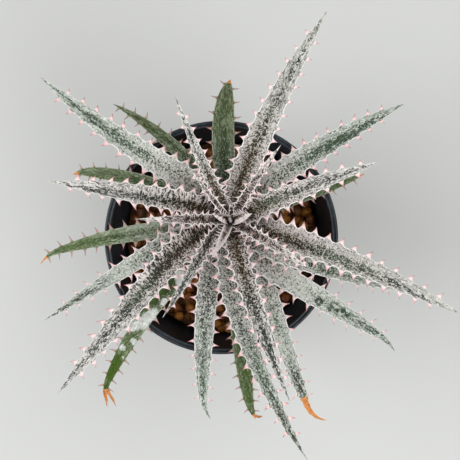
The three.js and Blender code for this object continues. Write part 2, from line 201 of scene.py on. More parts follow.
@dataclass(frozen=True)
class ScaledLeafSkin:
    """Bromeliad leaf skin, waxy, under a coat of silver water-drinking scales.

    The scales give the eye a salt-and-pepper frost. It is thick and pale towards the margins and
    thin over the channel, where the skin's own green, bronze or purple comes through. A scale is a
    speck, a lengthwise streak or a crosswise dash, each of its own lightness. The toothed margin
    is bare horn, white at the edge and pink at the points, and a dead tip is straw.

    A pair of colours or shares holds one at the leaf's base and one at its tip, unless its comment
    says otherwise. A ramp holds two values between which something changes smoothly, and then,
    where they aren't 0 and 1, what it changes from and to.
    """

    name: str
    channel: tuple  # colours of the skin under the scales
    flank: tuple
    scales: tuple
    frost_channel: tuple  # shares of the skin that the scales cover
    frost_flank: tuple
    gilt: str  # colour of the scales over the channel near the base
    horn: str = "#f8f2f0"
    tooth: str = "#f5dcda"
    point: str = "#dc8c91"
    straw: str = "#d99150"
    husk: str = "#a8642f"
    fresh: str = "#33462f"  # green skin
    rust: str = "#35230f"  # brown skin
    chalk: str = "#d3d6d1"  # colour of the thickest scales
    ages: tuple = (0.12, 0.8)  # shares of the length where the base's looks end and the tip's begin
    band: tuple = (0.12, 0.55)  # where the channel's colour ends, as shares of the half width
    hatch: tuple = (0.2, 0.4)  # shares of the specks that are dashes, in the channel and on the flanks
    streaks: tuple = (0.1, 0.6)  # shares of the other specks that are streaks
    lively: tuple = (1.6, 0.9)  # contrast of the specks, in the channel and on the flanks

    speck: float = 0.46  # mm, across a scale, drawn a little coarse so that it shows
    dash: float = 1.5  # mm, length of a crosswise dash
    streak: float = 1.3  # mm, length of a lengthwise one
    warp: float = 0.9  # bends to the millimetre in a speck's outline
    drift: tuple = (11.0, 11.0, 2)  # mm along and across, and detail, of slow changes of colour
    patchy: tuple = (4.5, 2.2, 3)  # the same of thin and thick places
    veined: tuple = (6.0, 0.55, 2)  # of lines along the veins
    grainy: tuple = (0.8, 0.8, 2)  # of the finest mottling
    age_reach: float = 0.35  # how far these clouds move the age, and so on
    band_reach: float = 0.45
    patch_reach: float = 0.25
    rub_reach: float = 0.9
    kind_reach: float = 1.6
    speck_reach: float = 0.4
    edge_reach: float = 0.6
    dry_reach: float = 0.6
    vein_reach: tuple = (0.15, 0.6, 0.1, 0.2)  # ramp along the leaf

    mottle: tuple = (0.3, 0.7, 0.6, 1.4)  # ramp of the skin's lightness over the grain
    tip_cover: tuple = (0.72, 0.92, 0.5, 0.6)  # ramp along the leaf of the cover gained, 0.5 for none
    tint_loss: tuple = (-0.08, -0.08, -0.22)  # of the cover, where the skin is green, brown or bare
    thick: tuple = (-0.5, -0.2, 0.8, 0.0)  # ramps of the cover over the rubbed value
    thin: tuple = (0.1, 0.6, 0.0, -0.7)
    chalky: tuple = (-0.6, -0.1, 1.0, 0.0)
    contrast: tuple = ((0.35, 0.65, 1, 0.62), (1, 3, 1, 1.3), (0, 1, 1, 1.3))  # over length, hatch, bare
    streaked: tuple = (0.25, 0.7)  # shares of the length between which streaks gain
    choice: tuple = (0.4, 0.6)  # how hard one kind of speck ends at the next
    soft: tuple = (-0.05, 1.05)  # how soft a thin scale's edge is
    tones: tuple = (0.76, 1.14)  # of the darkest scale and the lightest

    stripes: tuple = (0.35, 0.8)  # pace and waviness of the underside's stripes
    stripe_edge: tuple = (0.25, 0.75)
    stripe_share: float = 0.6
    horn_reach: tuple = (0.2, 0.75, 0.5, 0.3)  # ramp along the leaf of the horn's width, 0.5 in full
    horn_edge: tuple = (0.55, 0.75)
    rim_edge: tuple = (0.8, 0.95)
    flesh_edge: tuple = (0.02, 0.2)  # shares of a tooth's height, from the horn to its flesh
    point_edge: tuple = (0.2, 0.9)  # and from its flesh to its point
    pale_rim: float = 0.45
    husk_edge: tuple = (0.3, 0.6)
    dry_edge: tuple = (0.35, 0.6)

    cuticle_ior: float = 1.45
    gloss: float = 0.3  # the wax is dull
    velvet: float = 0.3  # the raised scales light up at a grazing angle
    velvet_spread: float = 0.4
    roughness: tuple = (0.45, 0.85)  # of bare skin and of thick scales
    relief: float = 0.14  # mm, height of a scale
    relief_share: float = 0.6

    def dress(self) -> bpy.types.Material:
        """Returns the material."""
        graph = Graph(self.name)
        put, shifted = graph.put, self.shifted
        place = put("Attribute", out="Vector", attribute_name="leaf_place")
        share, part, edge = self.read(graph, "leaf_growth")
        tooth, dry, rubbed = self.read(graph, "leaf_marks")
        frost, underside, hatch = self.read(graph, "leaf_state")
        tints = self.read(graph, "leaf_tint")
        sizes = (self.drift, self.patchy, self.veined, self.grainy)
        drift, patches, veins, grain = (self.clouds(graph, place, *size) for size in sizes)
        age = put("MapRange", (shifted(graph, share, drift, self.age_reach), *self.ages), **SMOOTH)
        outer = put("MapRange", (shifted(graph, part, drift, self.band_reach), *self.band), **SMOOTH)

        channel, flank = (self.aged(graph, age, colours) for colours in (self.channel, self.flank))
        skin = put("Mix", {0: outer, 6: channel, 7: flank}, **BLEND)
        for tint, colour in zip(tints, (self.fresh, self.rust)):
            skin = put("Mix", {0: tint, 6: skin, 7: linear(colour)}, **BLEND)
        shade = put("MapRange", (grain, *self.mottle), **SMOOTH)
        skin = put("VectorMath", {0: skin, 3: shade}, operation="SCALE")

        cover = self.cover(graph, age, outer, patches, frost, rubbed)
        cover = shifted(graph, cover, veins, put("MapRange", (share, *self.vein_reach), **SMOOTH))
        cover = shifted(graph, cover, put("MapRange", (share, *self.tip_cover), **SMOOTH), 1.0)
        for tint, loss in zip(tints, self.tint_loss):
            cover = put("Math", (tint, loss, cover), operation="MULTIPLY_ADD")
        lively = put("MapRange", (outer, 0, 1, *self.lively), **SMOOTH)
        for value, ramp in zip((share, hatch, tints[2]), self.contrast):
            more = put("MapRange", (value, *ramp), **SMOOTH)
            lively = put("Math", (lively, more), operation="MULTIPLY")
        draw, tone = self.specks(graph, place, share, outer, hatch, grain)
        draw = put("Math", (cover, shifted(graph, draw, grain, self.speck_reach)), operation="SUBTRACT")
        draw = put("Math", (draw, lively, 0.5), operation="MULTIPLY_ADD")
        scaled = put("MapRange", (draw, *self.soft), **SMOOTH)

        gilt = self.aged(graph, age, (self.gilt, self.scales[1]))
        scale = put("Mix", {0: outer, 6: gilt, 7: self.aged(graph, age, self.scales)}, **BLEND)
        chalky = put("MapRange", (rubbed, *self.chalky), **SMOOTH)
        scale = put("Mix", {0: chalky, 6: scale, 7: linear(self.chalk)}, **BLEND)
        shade = put("MapRange", (tone, 0, 1, *self.tones))
        scale = put("VectorMath", {0: scale, 3: shade}, operation="SCALE")
        colour = put("Mix", {0: scaled, 6: skin, 7: scale}, **BLEND)
        colour = self.under(graph, place, underside, age, colour)
        colour = self.margin(graph, edge, tooth, share, grain, colour)
        height = put("Math", (scaled, grain), operation="ADD")
        bump = {"Strength": self.relief_share, "Distance": self.relief * METRES, "Height": height}
        return graph.done({
            "Base Color": self.dead(graph, dry, grain, colour), "IOR": self.cuticle_ior, "Metallic": 0.0,
            "Roughness": put("MapRange", (scaled, 0, 1, *self.roughness)), "Specular IOR Level": self.gloss,
            "Sheen Weight": put("Math", (scaled, self.velvet), operation="MULTIPLY"),
            "Sheen Roughness": self.velvet_spread, "Normal": put("Bump", bump),
        })

    @staticmethod
    def read(graph: Graph, name: str) -> list[Socket]:
        """Returns the three numbers that the mesh stores under a name."""
        vector = graph.put("Attribute", out="Vector", attribute_name=name)
        return list(graph.put("SeparateXYZ", (vector,)).node.outputs)

    @staticmethod
    def clouds(graph: Graph, place: Socket, along: float, across: float, detail: float) -> Socket:
        """Returns a cloudy value from 0 to 1, its clouds of a length and a width in millimetres."""
        cell = (1 / along, 1 / across, 1 / across)
        cell = graph.put("VectorMath", (place, cell), operation="MULTIPLY")
        return graph.put("TexNoise", {"Vector": cell, "Scale": 1.0, "Detail": detail, "Roughness": 0.6})

    @staticmethod
    def shifted(graph: Graph, value: Value, cloud: Value, reach: Value) -> Socket:
        """Returns a value moved up or down by a cloud, by half of reach at most."""
        cloud = graph.put("Math", (cloud, 0.5), operation="SUBTRACT")
        return graph.put("Math", (cloud, reach, value), operation="MULTIPLY_ADD")

    @staticmethod
    def aged(graph: Graph, age: Socket, colours: tuple) -> Socket:
        """Returns the colour between a pair's two, at the base and at the tip."""
        return graph.put("Mix", {0: age, 6: linear(colours[0]), 7: linear(colours[1])}, **BLEND)

    def cover(
        self, graph: Graph, age: Socket, outer: Socket, patches: Socket, frost: Socket, rubbed: Socket
    ) -> Socket:
        """Returns the share of the skin that scales cover: thin in the channel and where rubbed.

        Args:
            graph: The material's nodes.
            age: 0 at the base's looks, 1 at the tip's.
            outer: 0 in the channel, 1 on the flanks.
            patches: Clouds of thin and thick places.
            frost: Share of its scales that the leaf has kept.
            rubbed: Above 0 where they are rubbed off, below 0 where they are thick.

        Returns:
            The share.
        """
        pairs = (self.frost_channel, self.frost_flank)
        channel, flank = (graph.put("MapRange", (age, 0, 1, *pair), **SMOOTH) for pair in pairs)
        cover = graph.put("MapRange", (outer, 0, 1, channel, flank), **SMOOTH)
        cover = self.shifted(graph, cover, patches, self.patch_reach)
        cover = graph.put("Math", (cover, frost), operation="MULTIPLY")
        rubbed = self.shifted(graph, rubbed, patches, self.rub_reach)
        for ramp in (self.thick, self.thin):
            more = graph.put("MapRange", (rubbed, *ramp), **SMOOTH)
            cover = graph.put("Math", (cover, more), operation="ADD")
        return cover

    def specks(
        self, graph: Graph, place: Socket, share: Socket, outer: Socket, hatch: Socket, grain: Socket
    ) -> list[Socket]:
        """Draws two random numbers, the same all over a speck: a small cell, a streak or a dash.

        Args:
            graph: The material's nodes.
            place: The place on the leaf.
            share: Share of its length.
            outer: 0 in the channel, 1 on the flanks.
            hatch: Makes more of the specks dashes.
            grain: The finest clouds.

        Returns:
            The two numbers.
        """
        put = graph.put
        warp = put("TexNoise", {"Vector": place, "Scale": self.warp, "Detail": 1.0}, "Color")
        warp = put("VectorMath", (warp, (0.5, 0.5, 0.5)), operation="SUBTRACT")
        place = put("VectorMath", (place, warp), operation="ADD")
        fine = 1 / self.speck
        draws = []
        for size in ((fine, fine, fine), (1 / self.streak, fine, fine), (fine, 1 / self.dash, fine)):
            cell = put("VectorMath", (place, size), operation="MULTIPLY")
            draws.append(put("TexVoronoi", {"Vector": cell, "Scale": 1.0}, "Color"))
        along = put("MapRange", (share, *self.streaked, *self.streaks), **SMOOTH)
        across = put("MapRange", (outer, 0, 1, *self.hatch), **SMOOTH)
        across = put("Math", (across, hatch), operation="MULTIPLY", use_clamp=True)
        draw = draws[0]
        for kind, other in ((along, draws[1]), (across, draws[2])):
            chosen = self.shifted(graph, kind, grain, self.kind_reach)
            chosen = put("MapRange", (chosen, *self.choice), **SMOOTH)
            draw = put("Mix", {0: chosen, 6: draw, 7: other}, **BLEND)
        return list(put("SeparateColor", (draw,)).node.outputs)[:2]

    def under(self, graph: Graph, place: Socket, underside: Socket, age: Socket, colour: Socket) -> Socket:
        """Returns the colour with the pale stripes between the veins of a leaf's underside."""
        pace, wavy = self.stripes
        wave = {"Vector": place, "Scale": pace, "Distortion": wavy, "Detail": 1.0}
        stripes = graph.put("TexWave", wave, "Fac", bands_direction="Y")
        stripes = graph.put("MapRange", (stripes, *self.stripe_edge), **SMOOTH)
        flank, scales = (self.aged(graph, age, colours) for colours in (self.flank, self.scales))
        striped = graph.put("Mix", {0: stripes, 6: flank, 7: scales}, **BLEND)
        share = graph.put("Math", (underside, self.stripe_share), operation="MULTIPLY")
        return graph.put("Mix", {0: share, 6: colour, 7: striped}, **BLEND)

    def margin(
        self, graph: Graph, edge: Socket, tooth: Socket, share: Socket, grain: Socket, colour: Socket
    ) -> Socket:
        """Returns the colour with the teeth and the horny edge, which thins out to the tip.

        Args:
            graph: The material's nodes.
            edge: How near the margin a place lies, from 0 to 1.
            tooth: Share of a tooth's height.
            share: Share of the leaf's length.
            grain: The finest clouds.
            colour: The colour of the blade.

        Returns:
            The colour.
        """
        put = graph.put
        edge = self.shifted(graph, edge, grain, self.edge_reach)
        edge = self.shifted(graph, edge, put("MapRange", (share, *self.horn_reach), **SMOOTH), 1.0)
        rim = put("MapRange", (edge, *self.rim_edge), **SMOOTH)
        horn = put("MapRange", (edge, *self.horn_edge), **SMOOTH)
        flesh = put("MapRange", (tooth, *self.flesh_edge), **SMOOTH)
        flesh = put("MapRange", (rim, 0, 1, flesh, 0.0), **SMOOTH)
        point = put("MapRange", (rim, 0, 1, 1.0, self.pale_rim), **SMOOTH)
        point = put("MapRange", (tooth, *self.point_edge, 0.0, point), **SMOOTH)
        for part, own in ((horn, self.horn), (flesh, self.tooth), (point, self.point)):
            colour = put("Mix", {0: part, 6: colour, 7: linear(own)}, **BLEND)
        return colour

    def dead(self, graph: Graph, dry: Socket, grain: Socket, colour: Socket) -> Socket:
        """Returns the colour with the dry, straw-coloured tip."""
        husk = graph.put("MapRange", (grain, *self.husk_edge), **SMOOTH)
        husk = graph.put("Mix", {0: husk, 6: linear(self.husk), 7: linear(self.straw)}, **BLEND)
        dead = self.shifted(graph, dry, grain, self.dry_reach)
        dead = graph.put("MapRange", (dead, *self.dry_edge), **SMOOTH)
        return graph.put("Mix", {0: dead, 6: colour, 7: husk}, **BLEND)


@dataclass(frozen=True)
class MouldedPolypropylene:
    """Black polypropylene, injection moulded: a satin, slightly blue-grey skin with soft
    highlights on its beads, fine draft lines down the wall and scuffs that catch the light.
    """

    name: str = "polypropylene_moulded_black"
    body: str = "#1c2329"
    scuff: str = "#36424b"
    scuffs: float = 240.0  # to the metre
    scuffed: tuple = (0.45, 0.75)  # values of their noise between which the scuffs come in
    ior: float = 1.49
    roughness: tuple = (0.42, 0.62)  # clean and scuffed
    line_spacing: float = 0.9  # mm between draft lines
    line_length: float = 20.0  # in spacings
    relief: float = 0.2  # mm

    def dress(self) -> bpy.types.Material:
        """Returns the material."""
        graph = Graph(self.name)
        put = graph.put
        place = put("TexCoord", out="Object")
        dust = put("TexNoise", {"Vector": place, "Scale": self.scuffs, "Detail": 6.0, "Roughness": 0.7})
        dust = put("MapRange", (dust, *self.scuffed))
        flat = put("VectorMath", (place, (1, 1, 1 / self.line_length)), operation="MULTIPLY")
        lines = {"Vector": flat, "Scale": 1 / (self.line_spacing * METRES), "Detail": 2.0}
        bump = {"Strength": 0.25, "Distance": self.relief * METRES, "Height": put("TexNoise", lines)}
        return graph.done({
            "Base Color": put("Mix", {0: dust, 6: linear(self.body), 7: linear(self.scuff)}, **BLEND),
            "Roughness": put("MapRange", (dust, 0, 1, *self.roughness)), "IOR": self.ior, "Metallic": 0.0,
            "Normal": put("Bump", bump),
        })


@dataclass(frozen=True)
class BakedClay:
    """Baked clay granules, moist: dark brown to amber, each a little different, rough and pitted,
    with a soft wet shine on their tops.
    """

    name: str = "clay_granules_baked"
    dark: str = "#2e1808"
    brown: str = "#844a14"
    amber: str = "#c88434"
    mottle: tuple = (1.5, -0.75)  # contrast and shift of the clouds in a granule's tone
    ior: float = 1.55
    roughness: tuple = (0.55, 0.9)
    pit: float = 0.5  # mm
    cloud: float = 2.0  # mm
    relief: float = 0.4  # mm

    def dress(self) -> bpy.types.Material:
        """Returns the material."""
        graph = Graph(self.name)
        put = graph.put
        place = put("TexCoord", out="Object")
        tone = put("Attribute", out="Fac", attribute_name="granule_tone")
        scale = 1 / (self.cloud * METRES)
        cloud = put("TexNoise", {"Vector": place, "Scale": scale, "Detail": 5.0, "Roughness": 0.7})
        cloud = put("Math", (cloud, *self.mottle), operation="MULTIPLY_ADD")
        colour = put("ValToRGB", (put("Math", (cloud, tone), operation="ADD", use_clamp=True),))
        stops = colour.node.color_ramp.elements
        stops[0].color = linear(self.dark)
        stops[1].color = linear(self.amber)
        stops.new(0.5).color = linear(self.brown)
        pits = put("TexNoise", {"Vector": place, "Scale": 1 / (self.pit * METRES), "Detail": 3.0})
        bump = {"Strength": 0.6, "Distance": self.relief * METRES, "Height": pits}
        return graph.done({
            "Base Color": colour, "Roughness": put("MapRange", (cloud, 0, 1, *self.roughness)),
            "IOR": self.ior, "Metallic": 0.0, "Normal": put("Bump", bump),
        })


@dataclass(frozen=True)
class BudDown:
    """The down of young scales on the rolled leaf bud: pale lavender-grey, with painted shade in its folds.
    """

    name: str = "bud_scales_young"
    # painted shade in the folds' grooves
    fold: str = "#3a2b28"
    down: str = "#d8cdcb"
    ior: float = 1.45
    roughness: float = 0.8
    grain: float = 0.4  # mm
    fold_edge: tuple = (0.0, 0.4)  # how softly the painted shade of a fold ends
    relief: float = 0.2  # mm

    def dress(self) -> bpy.types.Material:
        """Returns the material."""
        graph = Graph(self.name)
        put = graph.put
        place = put("TexCoord", out="Object")
        cloud = put("TexNoise", {"Vector": place, "Scale": 1 / (self.grain * METRES), "Detail": 2.0})
        # how deep in a fold a place lies, which sets the painted shade
        deep = put("Attribute", out="Fac", attribute_name="fold_depth")
        share = put("Math", (cloud, deep), operation="SUBTRACT")
        share = put("MapRange", (share, *self.fold_edge))
        bump = {"Strength": 0.4, "Distance": self.relief * METRES, "Height": cloud}
        return graph.done({
            "Base Color": put("Mix", {0: share, 6: linear(self.fold), 7: linear(self.down)}, **BLEND),
            "Roughness": self.roughness, "IOR": self.ior, "Metallic": 0.0, "Normal": put("Bump", bump),
        })


@dataclass(frozen=True)
class DryBark:
    """Dry woody bromeliad stem, ringed by old leaf scars: dull grey-brown with paler fibres, and painted
    shade at its tip in the heart.
    """

    name: str = "stem_bark_dry"
    dark: str = "#2c1f16"
    pale: str = "#8a745a"
    tip_shade: str = "#1c120e"  # painted shade: the colour of the tip, deep in the heart
    tip_shade_from: float = 90.0  # mm, height where the painted shade starts
    tip_shade_all: float = 100.0
    ior: float = 1.5
    roughness: float = 0.85
    fibre: float = 0.6  # mm, width of a fibre
    fibre_length: float = 2.0  # mm
    pale_from: tuple = (0.35, 0.7)  # values of the noise from the dark bark to the pale fibres
    relief: float = 0.3  # mm

    def dress(self) -> bpy.types.Material:
        """Returns the material."""
        graph = Graph(self.name)
        put = graph.put
        place = put("TexCoord", out="Object")
        long = put("VectorMath", (place, (1, 1, self.fibre / self.fibre_length)), operation="MULTIPLY")
        fibres = put("TexNoise", {"Vector": long, "Scale": 1 / (self.fibre * METRES), "Detail": 5.0})
        share = put("MapRange", (fibres, *self.pale_from))
        colour = put("Mix", {0: share, 6: linear(self.dark), 7: linear(self.pale)}, **BLEND)
        height = put("SeparateXYZ", (place,), "Z")
        # The tip darkens to painted shade, deep in the heart of the rosette.
        tip_shade = put("MapRange", (height, self.tip_shade_from * METRES, self.tip_shade_all * METRES))
        bump = {"Strength": 0.7, "Distance": self.relief * METRES, "Height": fibres}
        return graph.done({
            "Base Color": put("Mix", {0: tip_shade, 6: colour, 7: linear(self.tip_shade)}, **BLEND),
            "Roughness": self.roughness, "IOR": self.ior, "Metallic": 0.0, "Normal": put("Bump", bump),
        })


@dataclass(frozen=True)
class MattBoard:
    """Matt painted board, rolled: a plain pale grey that only takes soft shadows."""

    name: str = "board_matt_grey"
    paint: str = "#cccdcb"
    thin: str = "#c7c8c6"
    cloud: float = 125.0  # mm
    ior: float = 1.4
    roughness: float = 0.9

    def dress(self) -> bpy.types.Material:
        """Returns the material."""
        graph = Graph(self.name)
        place = graph.put("TexCoord", out="Object")
        cloud = {"Vector": place, "Scale": 1 / (self.cloud * METRES), "Detail": 3.0}
        cloud = graph.put("TexNoise", cloud)
        colour = graph.put("Mix", {0: cloud, 6: linear(self.thin), 7: linear(self.paint)}, **BLEND)
        return graph.done({"Base Color": colour, "Roughness": self.roughness, "IOR": self.ior})


class Look(Enum):
    """The stages of a leaf's skin, from the heart of the rosette outwards."""

    # Its channel's near-black base is partly the sheath's own purple-brown, partly painted shade between the
    # heart's leaves.
    HEART = ScaledLeafSkin(
        "leaf_skin_heart", channel=("#140b08", "#2c2420"), flank=("#241813", "#463b36"),
        scales=("#dfd3cf", "#e6dedb"), frost_channel=(0.36, 0.52), frost_flank=(0.42, 0.62),
        gilt="#a08a80", ages=(0.2, 0.95), band=(0.15, 0.75), hatch=(0.7, 0.6), lively=(2.3, 2.4),
        chalk="#dfd4d1",
    )
    BRONZE = ScaledLeafSkin(
        "leaf_skin_bronze", channel=("#18110a", "#1f2822"), flank=("#2a221e", "#3a403a"),
        scales=("#dacfca", "#d2cfca"), frost_channel=(0.36, 0.38), frost_flank=(0.52, 0.64),
        gilt="#a69f90", band=(0.1, 0.64), lively=(2.4, 2.0),
    )
    PEWTER = ScaledLeafSkin(
        "leaf_skin_pewter", channel=("#18110a", "#1f2822"), flank=("#3a3430", "#464c44"),
        scales=("#c9c0bc", "#cbcac4"), frost_channel=(0.36, 0.44), frost_flank=(0.64, 0.63),
        gilt="#a69f90", band=(0.12, 0.68), lively=(2.2, 1.3),
    )
    SILVER = ScaledLeafSkin(
        "leaf_skin_silver", channel=("#1f1e18", "#2a382e"), flank=("#2e2c28", "#424a42"),
        scales=("#cfcdc8", "#c3cac0"), frost_channel=(0.58, 0.37), frost_flank=(0.6, 0.63),
        gilt="#c0beb6", band=(0.1, 0.76), hatch=(0.2, 0.3), lively=(1.8, 1.35), tooth="#efcdcb",
        point="#c97578",
    )
    OLD = ScaledLeafSkin(
        "leaf_skin_old", channel=("#222c1c", "#2f4115"), flank=("#323d2a", "#425026"),
        scales=("#b4bfb2", "#98a486"), frost_channel=(0.46, 0.12), frost_flank=(0.62, 0.42),
        gilt="#a9af9b", hatch=(0.0, 0.2), lively=(0.95, 1.05), streaks=(0.3, 0.8), fresh="#3e5714",
        horn="#a9ad98", tooth="#b5938a", point="#8a4c4a",
    )


# ---- the pot and its fill ----


@dataclass
class NurseryPot:
    """The round pot: a thin tapered wall, a beaded rim band, a foot ring and drain holes."""

    height: float = 86.0
    base_radius: float = 36.0
    rim_radius: float = 50.0
    rim_width: float = 2.8
    rim_depth: float = 7.0
    wall: float = 1.4
    floor: float = 1.8
    foot_rise: float = 0.8  # height of the underside inside the foot ring
    foot_width: float = 4.0
    heel: float = 1.5  # radius of the round between the foot and the wall
    heel_turns: tuple = (0.5, 0.9, 1.25)  # radians round it
    wall_shares: tuple = (0, 0.3, 0.6, 0.99, 1)  # of the wall's outside
    # The rim band's underside and its beaded top, each as in from the rim and down.
    shelf: tuple = ((0.9, 0.35), (0.6, 0), (0.5, -0.3))
    beads: tuple = (
        (0.05, 1.3), (0, 0.9), (0.1, 0.45), (0.4, 0.1), (0.8, 0), (1.15, 0.12), (1.35, 0.5), (1.55, 0.55),
        (1.75, 0.3), (2.1, 0.1), (2.5, 0.2),
    )
    hole_ring: float = 22.0
    hole_radius: float = 4.0
    holes: int = 6
    segments: int = 160
    hole_segments: int = 32
    sharp: float = 50.0  # degrees; a sharper corner isn't shaded smooth
    finish: MouldedPolypropylene = field(default_factory=MouldedPolypropylene)

    def inside(self, height: float) -> float:
        """Returns the radius of the inside of the wall at a height."""
        low = self.base_radius - self.wall
        high = self.rim_radius - self.rim_width
        return lerp(low, high, (height - self.floor) / (self.height - self.floor))

    def outline(self) -> list:
        """Returns the half section of the pot, from its underside round to its floor."""
        rim, top, heel = self.rim_radius, self.height, self.heel
        mouth = rim - self.rim_width
        under = top - self.rim_depth
        foot = self.base_radius - heel
        points = [(0, self.foot_rise), (foot - self.foot_width - 0.6, self.foot_rise)]
        points += [(foot - self.foot_width, 0.3), (foot - self.foot_width + 0.5, 0.0), (foot, 0.0)]
        points += [(foot + heel * math.sin(a), heel - heel * math.cos(a)) for a in self.heel_turns]
        wall_top = mouth + self.wall - 0.6
        low, high = heel + 0.1, under - 1.2
        points += [(lerp(self.base_radius, wall_top, s), lerp(low, high, s)) for s in self.wall_shares]
        points += [(rim - inwards, under - down) for inwards, down in self.shelf]
        points += [(rim - inwards, top - down) for inwards, down in self.beads]
        points += [(mouth + 0.05, top - 0.6), (mouth, top - 1.1)]
        points += [(self.inside(z), z) for z in (80, 60, 40, 20, self.floor + 1.2)]
        inside = self.inside(self.floor)
        return points + [(inside - 0.4, self.floor + 0.3), (inside - 1.4, self.floor), (0, self.floor)]

    def make(self) -> list:
        """Returns the pot, with its drain holes cut."""
        pot = new_object("nursery_pot", *turned(self.outline(), self.segments))
        low, high = -1.0, self.floor + 1.0
        outline = [(0, low), (self.hole_radius, low), (self.hole_radius, high), (0, high)]
        tools = []
        for k in range(self.holes):
            angle = 2 * math.pi * k / self.holes
            corners, faces = turned(outline, self.hole_segments)
            corners += (self.hole_ring * math.cos(angle), self.hole_ring * math.sin(angle), 0)
            tools.append(new_object(f"drill_{k}", corners, faces))
            cut = pot.modifiers.new(tools[k].name, "BOOLEAN")
            cut.operation, cut.solver, cut.object = "DIFFERENCE", "EXACT", tools[k]
        whole = bpy.data.meshes.new_from_object(pot.evaluated_get(bpy.context.evaluated_depsgraph_get()))
        pot.modifiers.clear()
        pot.data = whole
        for tool in tools:
            bpy.data.objects.remove(tool)
        pot.data.polygons.foreach_set("use_smooth", [True] * len(pot.data.polygons))
        pot.data.set_sharp_from_angle(angle=math.radians(self.sharp))
        finish_piece(pot, "pot", self.finish.dress())
        return [pot]


@dataclass
class ClayFill:
    """The fill of clay granules: a packed bed, and loose granules lying on it."""

    pot: NurseryPot
    bed_top: float = 62.0
    bed_lift: float = 0.3  # over the pot's floor
    bed_segments: int = 72
    bed_tone_and_shade: tuple = (0.2, 0.15)  # the middle one, and how far the lumps change it: the low middle is painted shade under the loose granules, and the change is painted light on the bumps and painted shade in the hollows
    waves: tuple = (1.3, 1.2, 1.1)  # radians to the millimetre, of the bed's lumps
    wave_shift: float = 1.0
    dent: float = 0.012  # share of the radius
    level: float = 69.0  # the highest granules
    small: float = 2.1  # radius of a granule
    large: float = 3.1
    gap: float = 0.35  # between the fill and the wall
    touch: float = 0.86  # share of their radii that keeps two granules apart
    lower_share: float = 0.4  # share of the tries that lay the lower layer
    lower_depth: float = 2.0
    upper_lift: float = 3.0
    stem_at: tuple = (4.0, 7.0)
    stem_room: float = 4.6
    tries: int = 9000
    lumps: tuple = (4, 2.0, 0.045)  # of one granule: how many waves, how short and how deep
    squash: tuple = (0.84, 1.06)
    tones: tuple = (0.15, 0.8)
    seed: int = 7
    finish: BakedClay = field(default_factory=BakedClay)

    def make(self) -> list:
        """Returns the bed and the loose granules."""
        material = self.finish.dress()
        pieces = [self.bed(), self.loose()]
        for piece in pieces:
            finish_piece(piece, "soil", material)
        return pieces

    def bed(self) -> bpy.types.Object:
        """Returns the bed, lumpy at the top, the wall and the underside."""
        floor = self.pot.floor + self.bed_lift
        outline = [(radius, floor) for radius in (0, 10, 20, 30)]
        outline += [(self.pot.inside(z) - self.gap, z) for z in np.linspace(floor, self.bed_top, 12)]
        outline += [(r, self.bed_top) for r in np.linspace(42, 2, 16)] + [(0, self.bed_top)]
        corners, faces = turned(outline, self.bed_segments)
        x, y, z = (corners[:, k] * self.waves[k] for k in range(3))
        lumps = np.sin(x) * np.sin(y + self.wave_shift) * np.sin(z)
        radius = np.hypot(corners[:, 0], corners[:, 1])
        corners[:, 2] += smoothstep(corners[:, 2], self.bed_top - 1, self.bed_top) * lumps
        corners[:, :2] *= (1 - self.dent * (lumps + 1) * smoothstep(radius, 25, 30))[:, None]
        bed = new_object("clay_bed", corners, faces)
        # The bed's tone is painted shade: dark under the loose granules, lighter on the lumps' bumps and
        # darker in their hollows.
        give_values(bed, "granule_tone", self.bed_tone_and_shade[0] + self.bed_tone_and_shade[1] * lumps)
        return bed

    def places(self, random: np.random.Generator) -> list:
        """Returns the middle and radius of each loose granule, none through another."""
        found = []
        for attempt in range(self.tries):
            radius = random.uniform(self.small, self.large)
            reach = self.pot.inside(self.bed_top) - self.gap - radius
            away = reach * math.sqrt(random.uniform(0, 1))
            angle = random.uniform(0, 2 * math.pi)
            low, high = self.bed_top, self.bed_top + self.lower_depth
            if attempt >= self.tries * self.lower_share:
                low, high = self.bed_top + self.upper_lift, self.level - radius
            at = np.array([away * math.cos(angle), away * math.sin(angle), random.uniform(low, high)])
            if math.dist(at[:2], self.stem_at) < self.stem_room + radius:
                continue
            if all(np.sum((at - other) ** 2) > (self.touch * (radius + size)) ** 2 for other, size in found):
                found.append((at, radius))
        return found

    def loose(self) -> bpy.types.Object:
        """Returns the loose granules as one piece, each a pebble of its own shape and tone."""
        random = np.random.default_rng(self.seed)
        ball = bmesh.new()
        bmesh.ops.create_icosphere(ball, subdivisions=3, radius=1.0)
        shape = np.array([v.co for v in ball.verts])
        ball_faces = np.array([[v.index for v in f.verts] for f in ball.faces])
        ball.free()
        number, short, deep = self.lumps
        corners, faces, tones = [], [], []
        for count, (middle, radius) in enumerate(self.places(random)):
            waves = random.normal(size=(number, 3)) * short
            lumps = np.sin(shape @ waves.T + random.uniform(0, 6, number)).sum(axis=1)
            pebble = shape * (radius * (1 + deep * lumps))[:, None]
            turn = np.linalg.qr(random.normal(size=(3, 3)))[0]
            pebble = (pebble * random.uniform(*self.squash, 3)) @ turn
            corners.append(pebble + middle)
            faces.append(ball_faces + count * len(shape))
            tones.append(np.full(len(shape), random.uniform(*self.tones)))
        loose = new_object("clay_granules", np.concatenate(corners), np.concatenate(faces).tolist())
        give_values(loose, "granule_tone", np.concatenate(tones))
        return loose


# ---- the plant ----


@dataclass(frozen=True)
class Patch:
    """A patch of a leaf where the scales are rubbed off or thick.

    It lies at a share of the length, off millimetres to the left, and fades out over size
    millimetres. With a ring it is a ring of that radius.
    """

    share: float
    off: float
    size: float
    ring: float = 0.0
    thick: bool = False


class Tint(Enum):
    """What an oval on a leaf shows more of."""

    GREEN = 0
    BROWN = 1
    BARE = 2


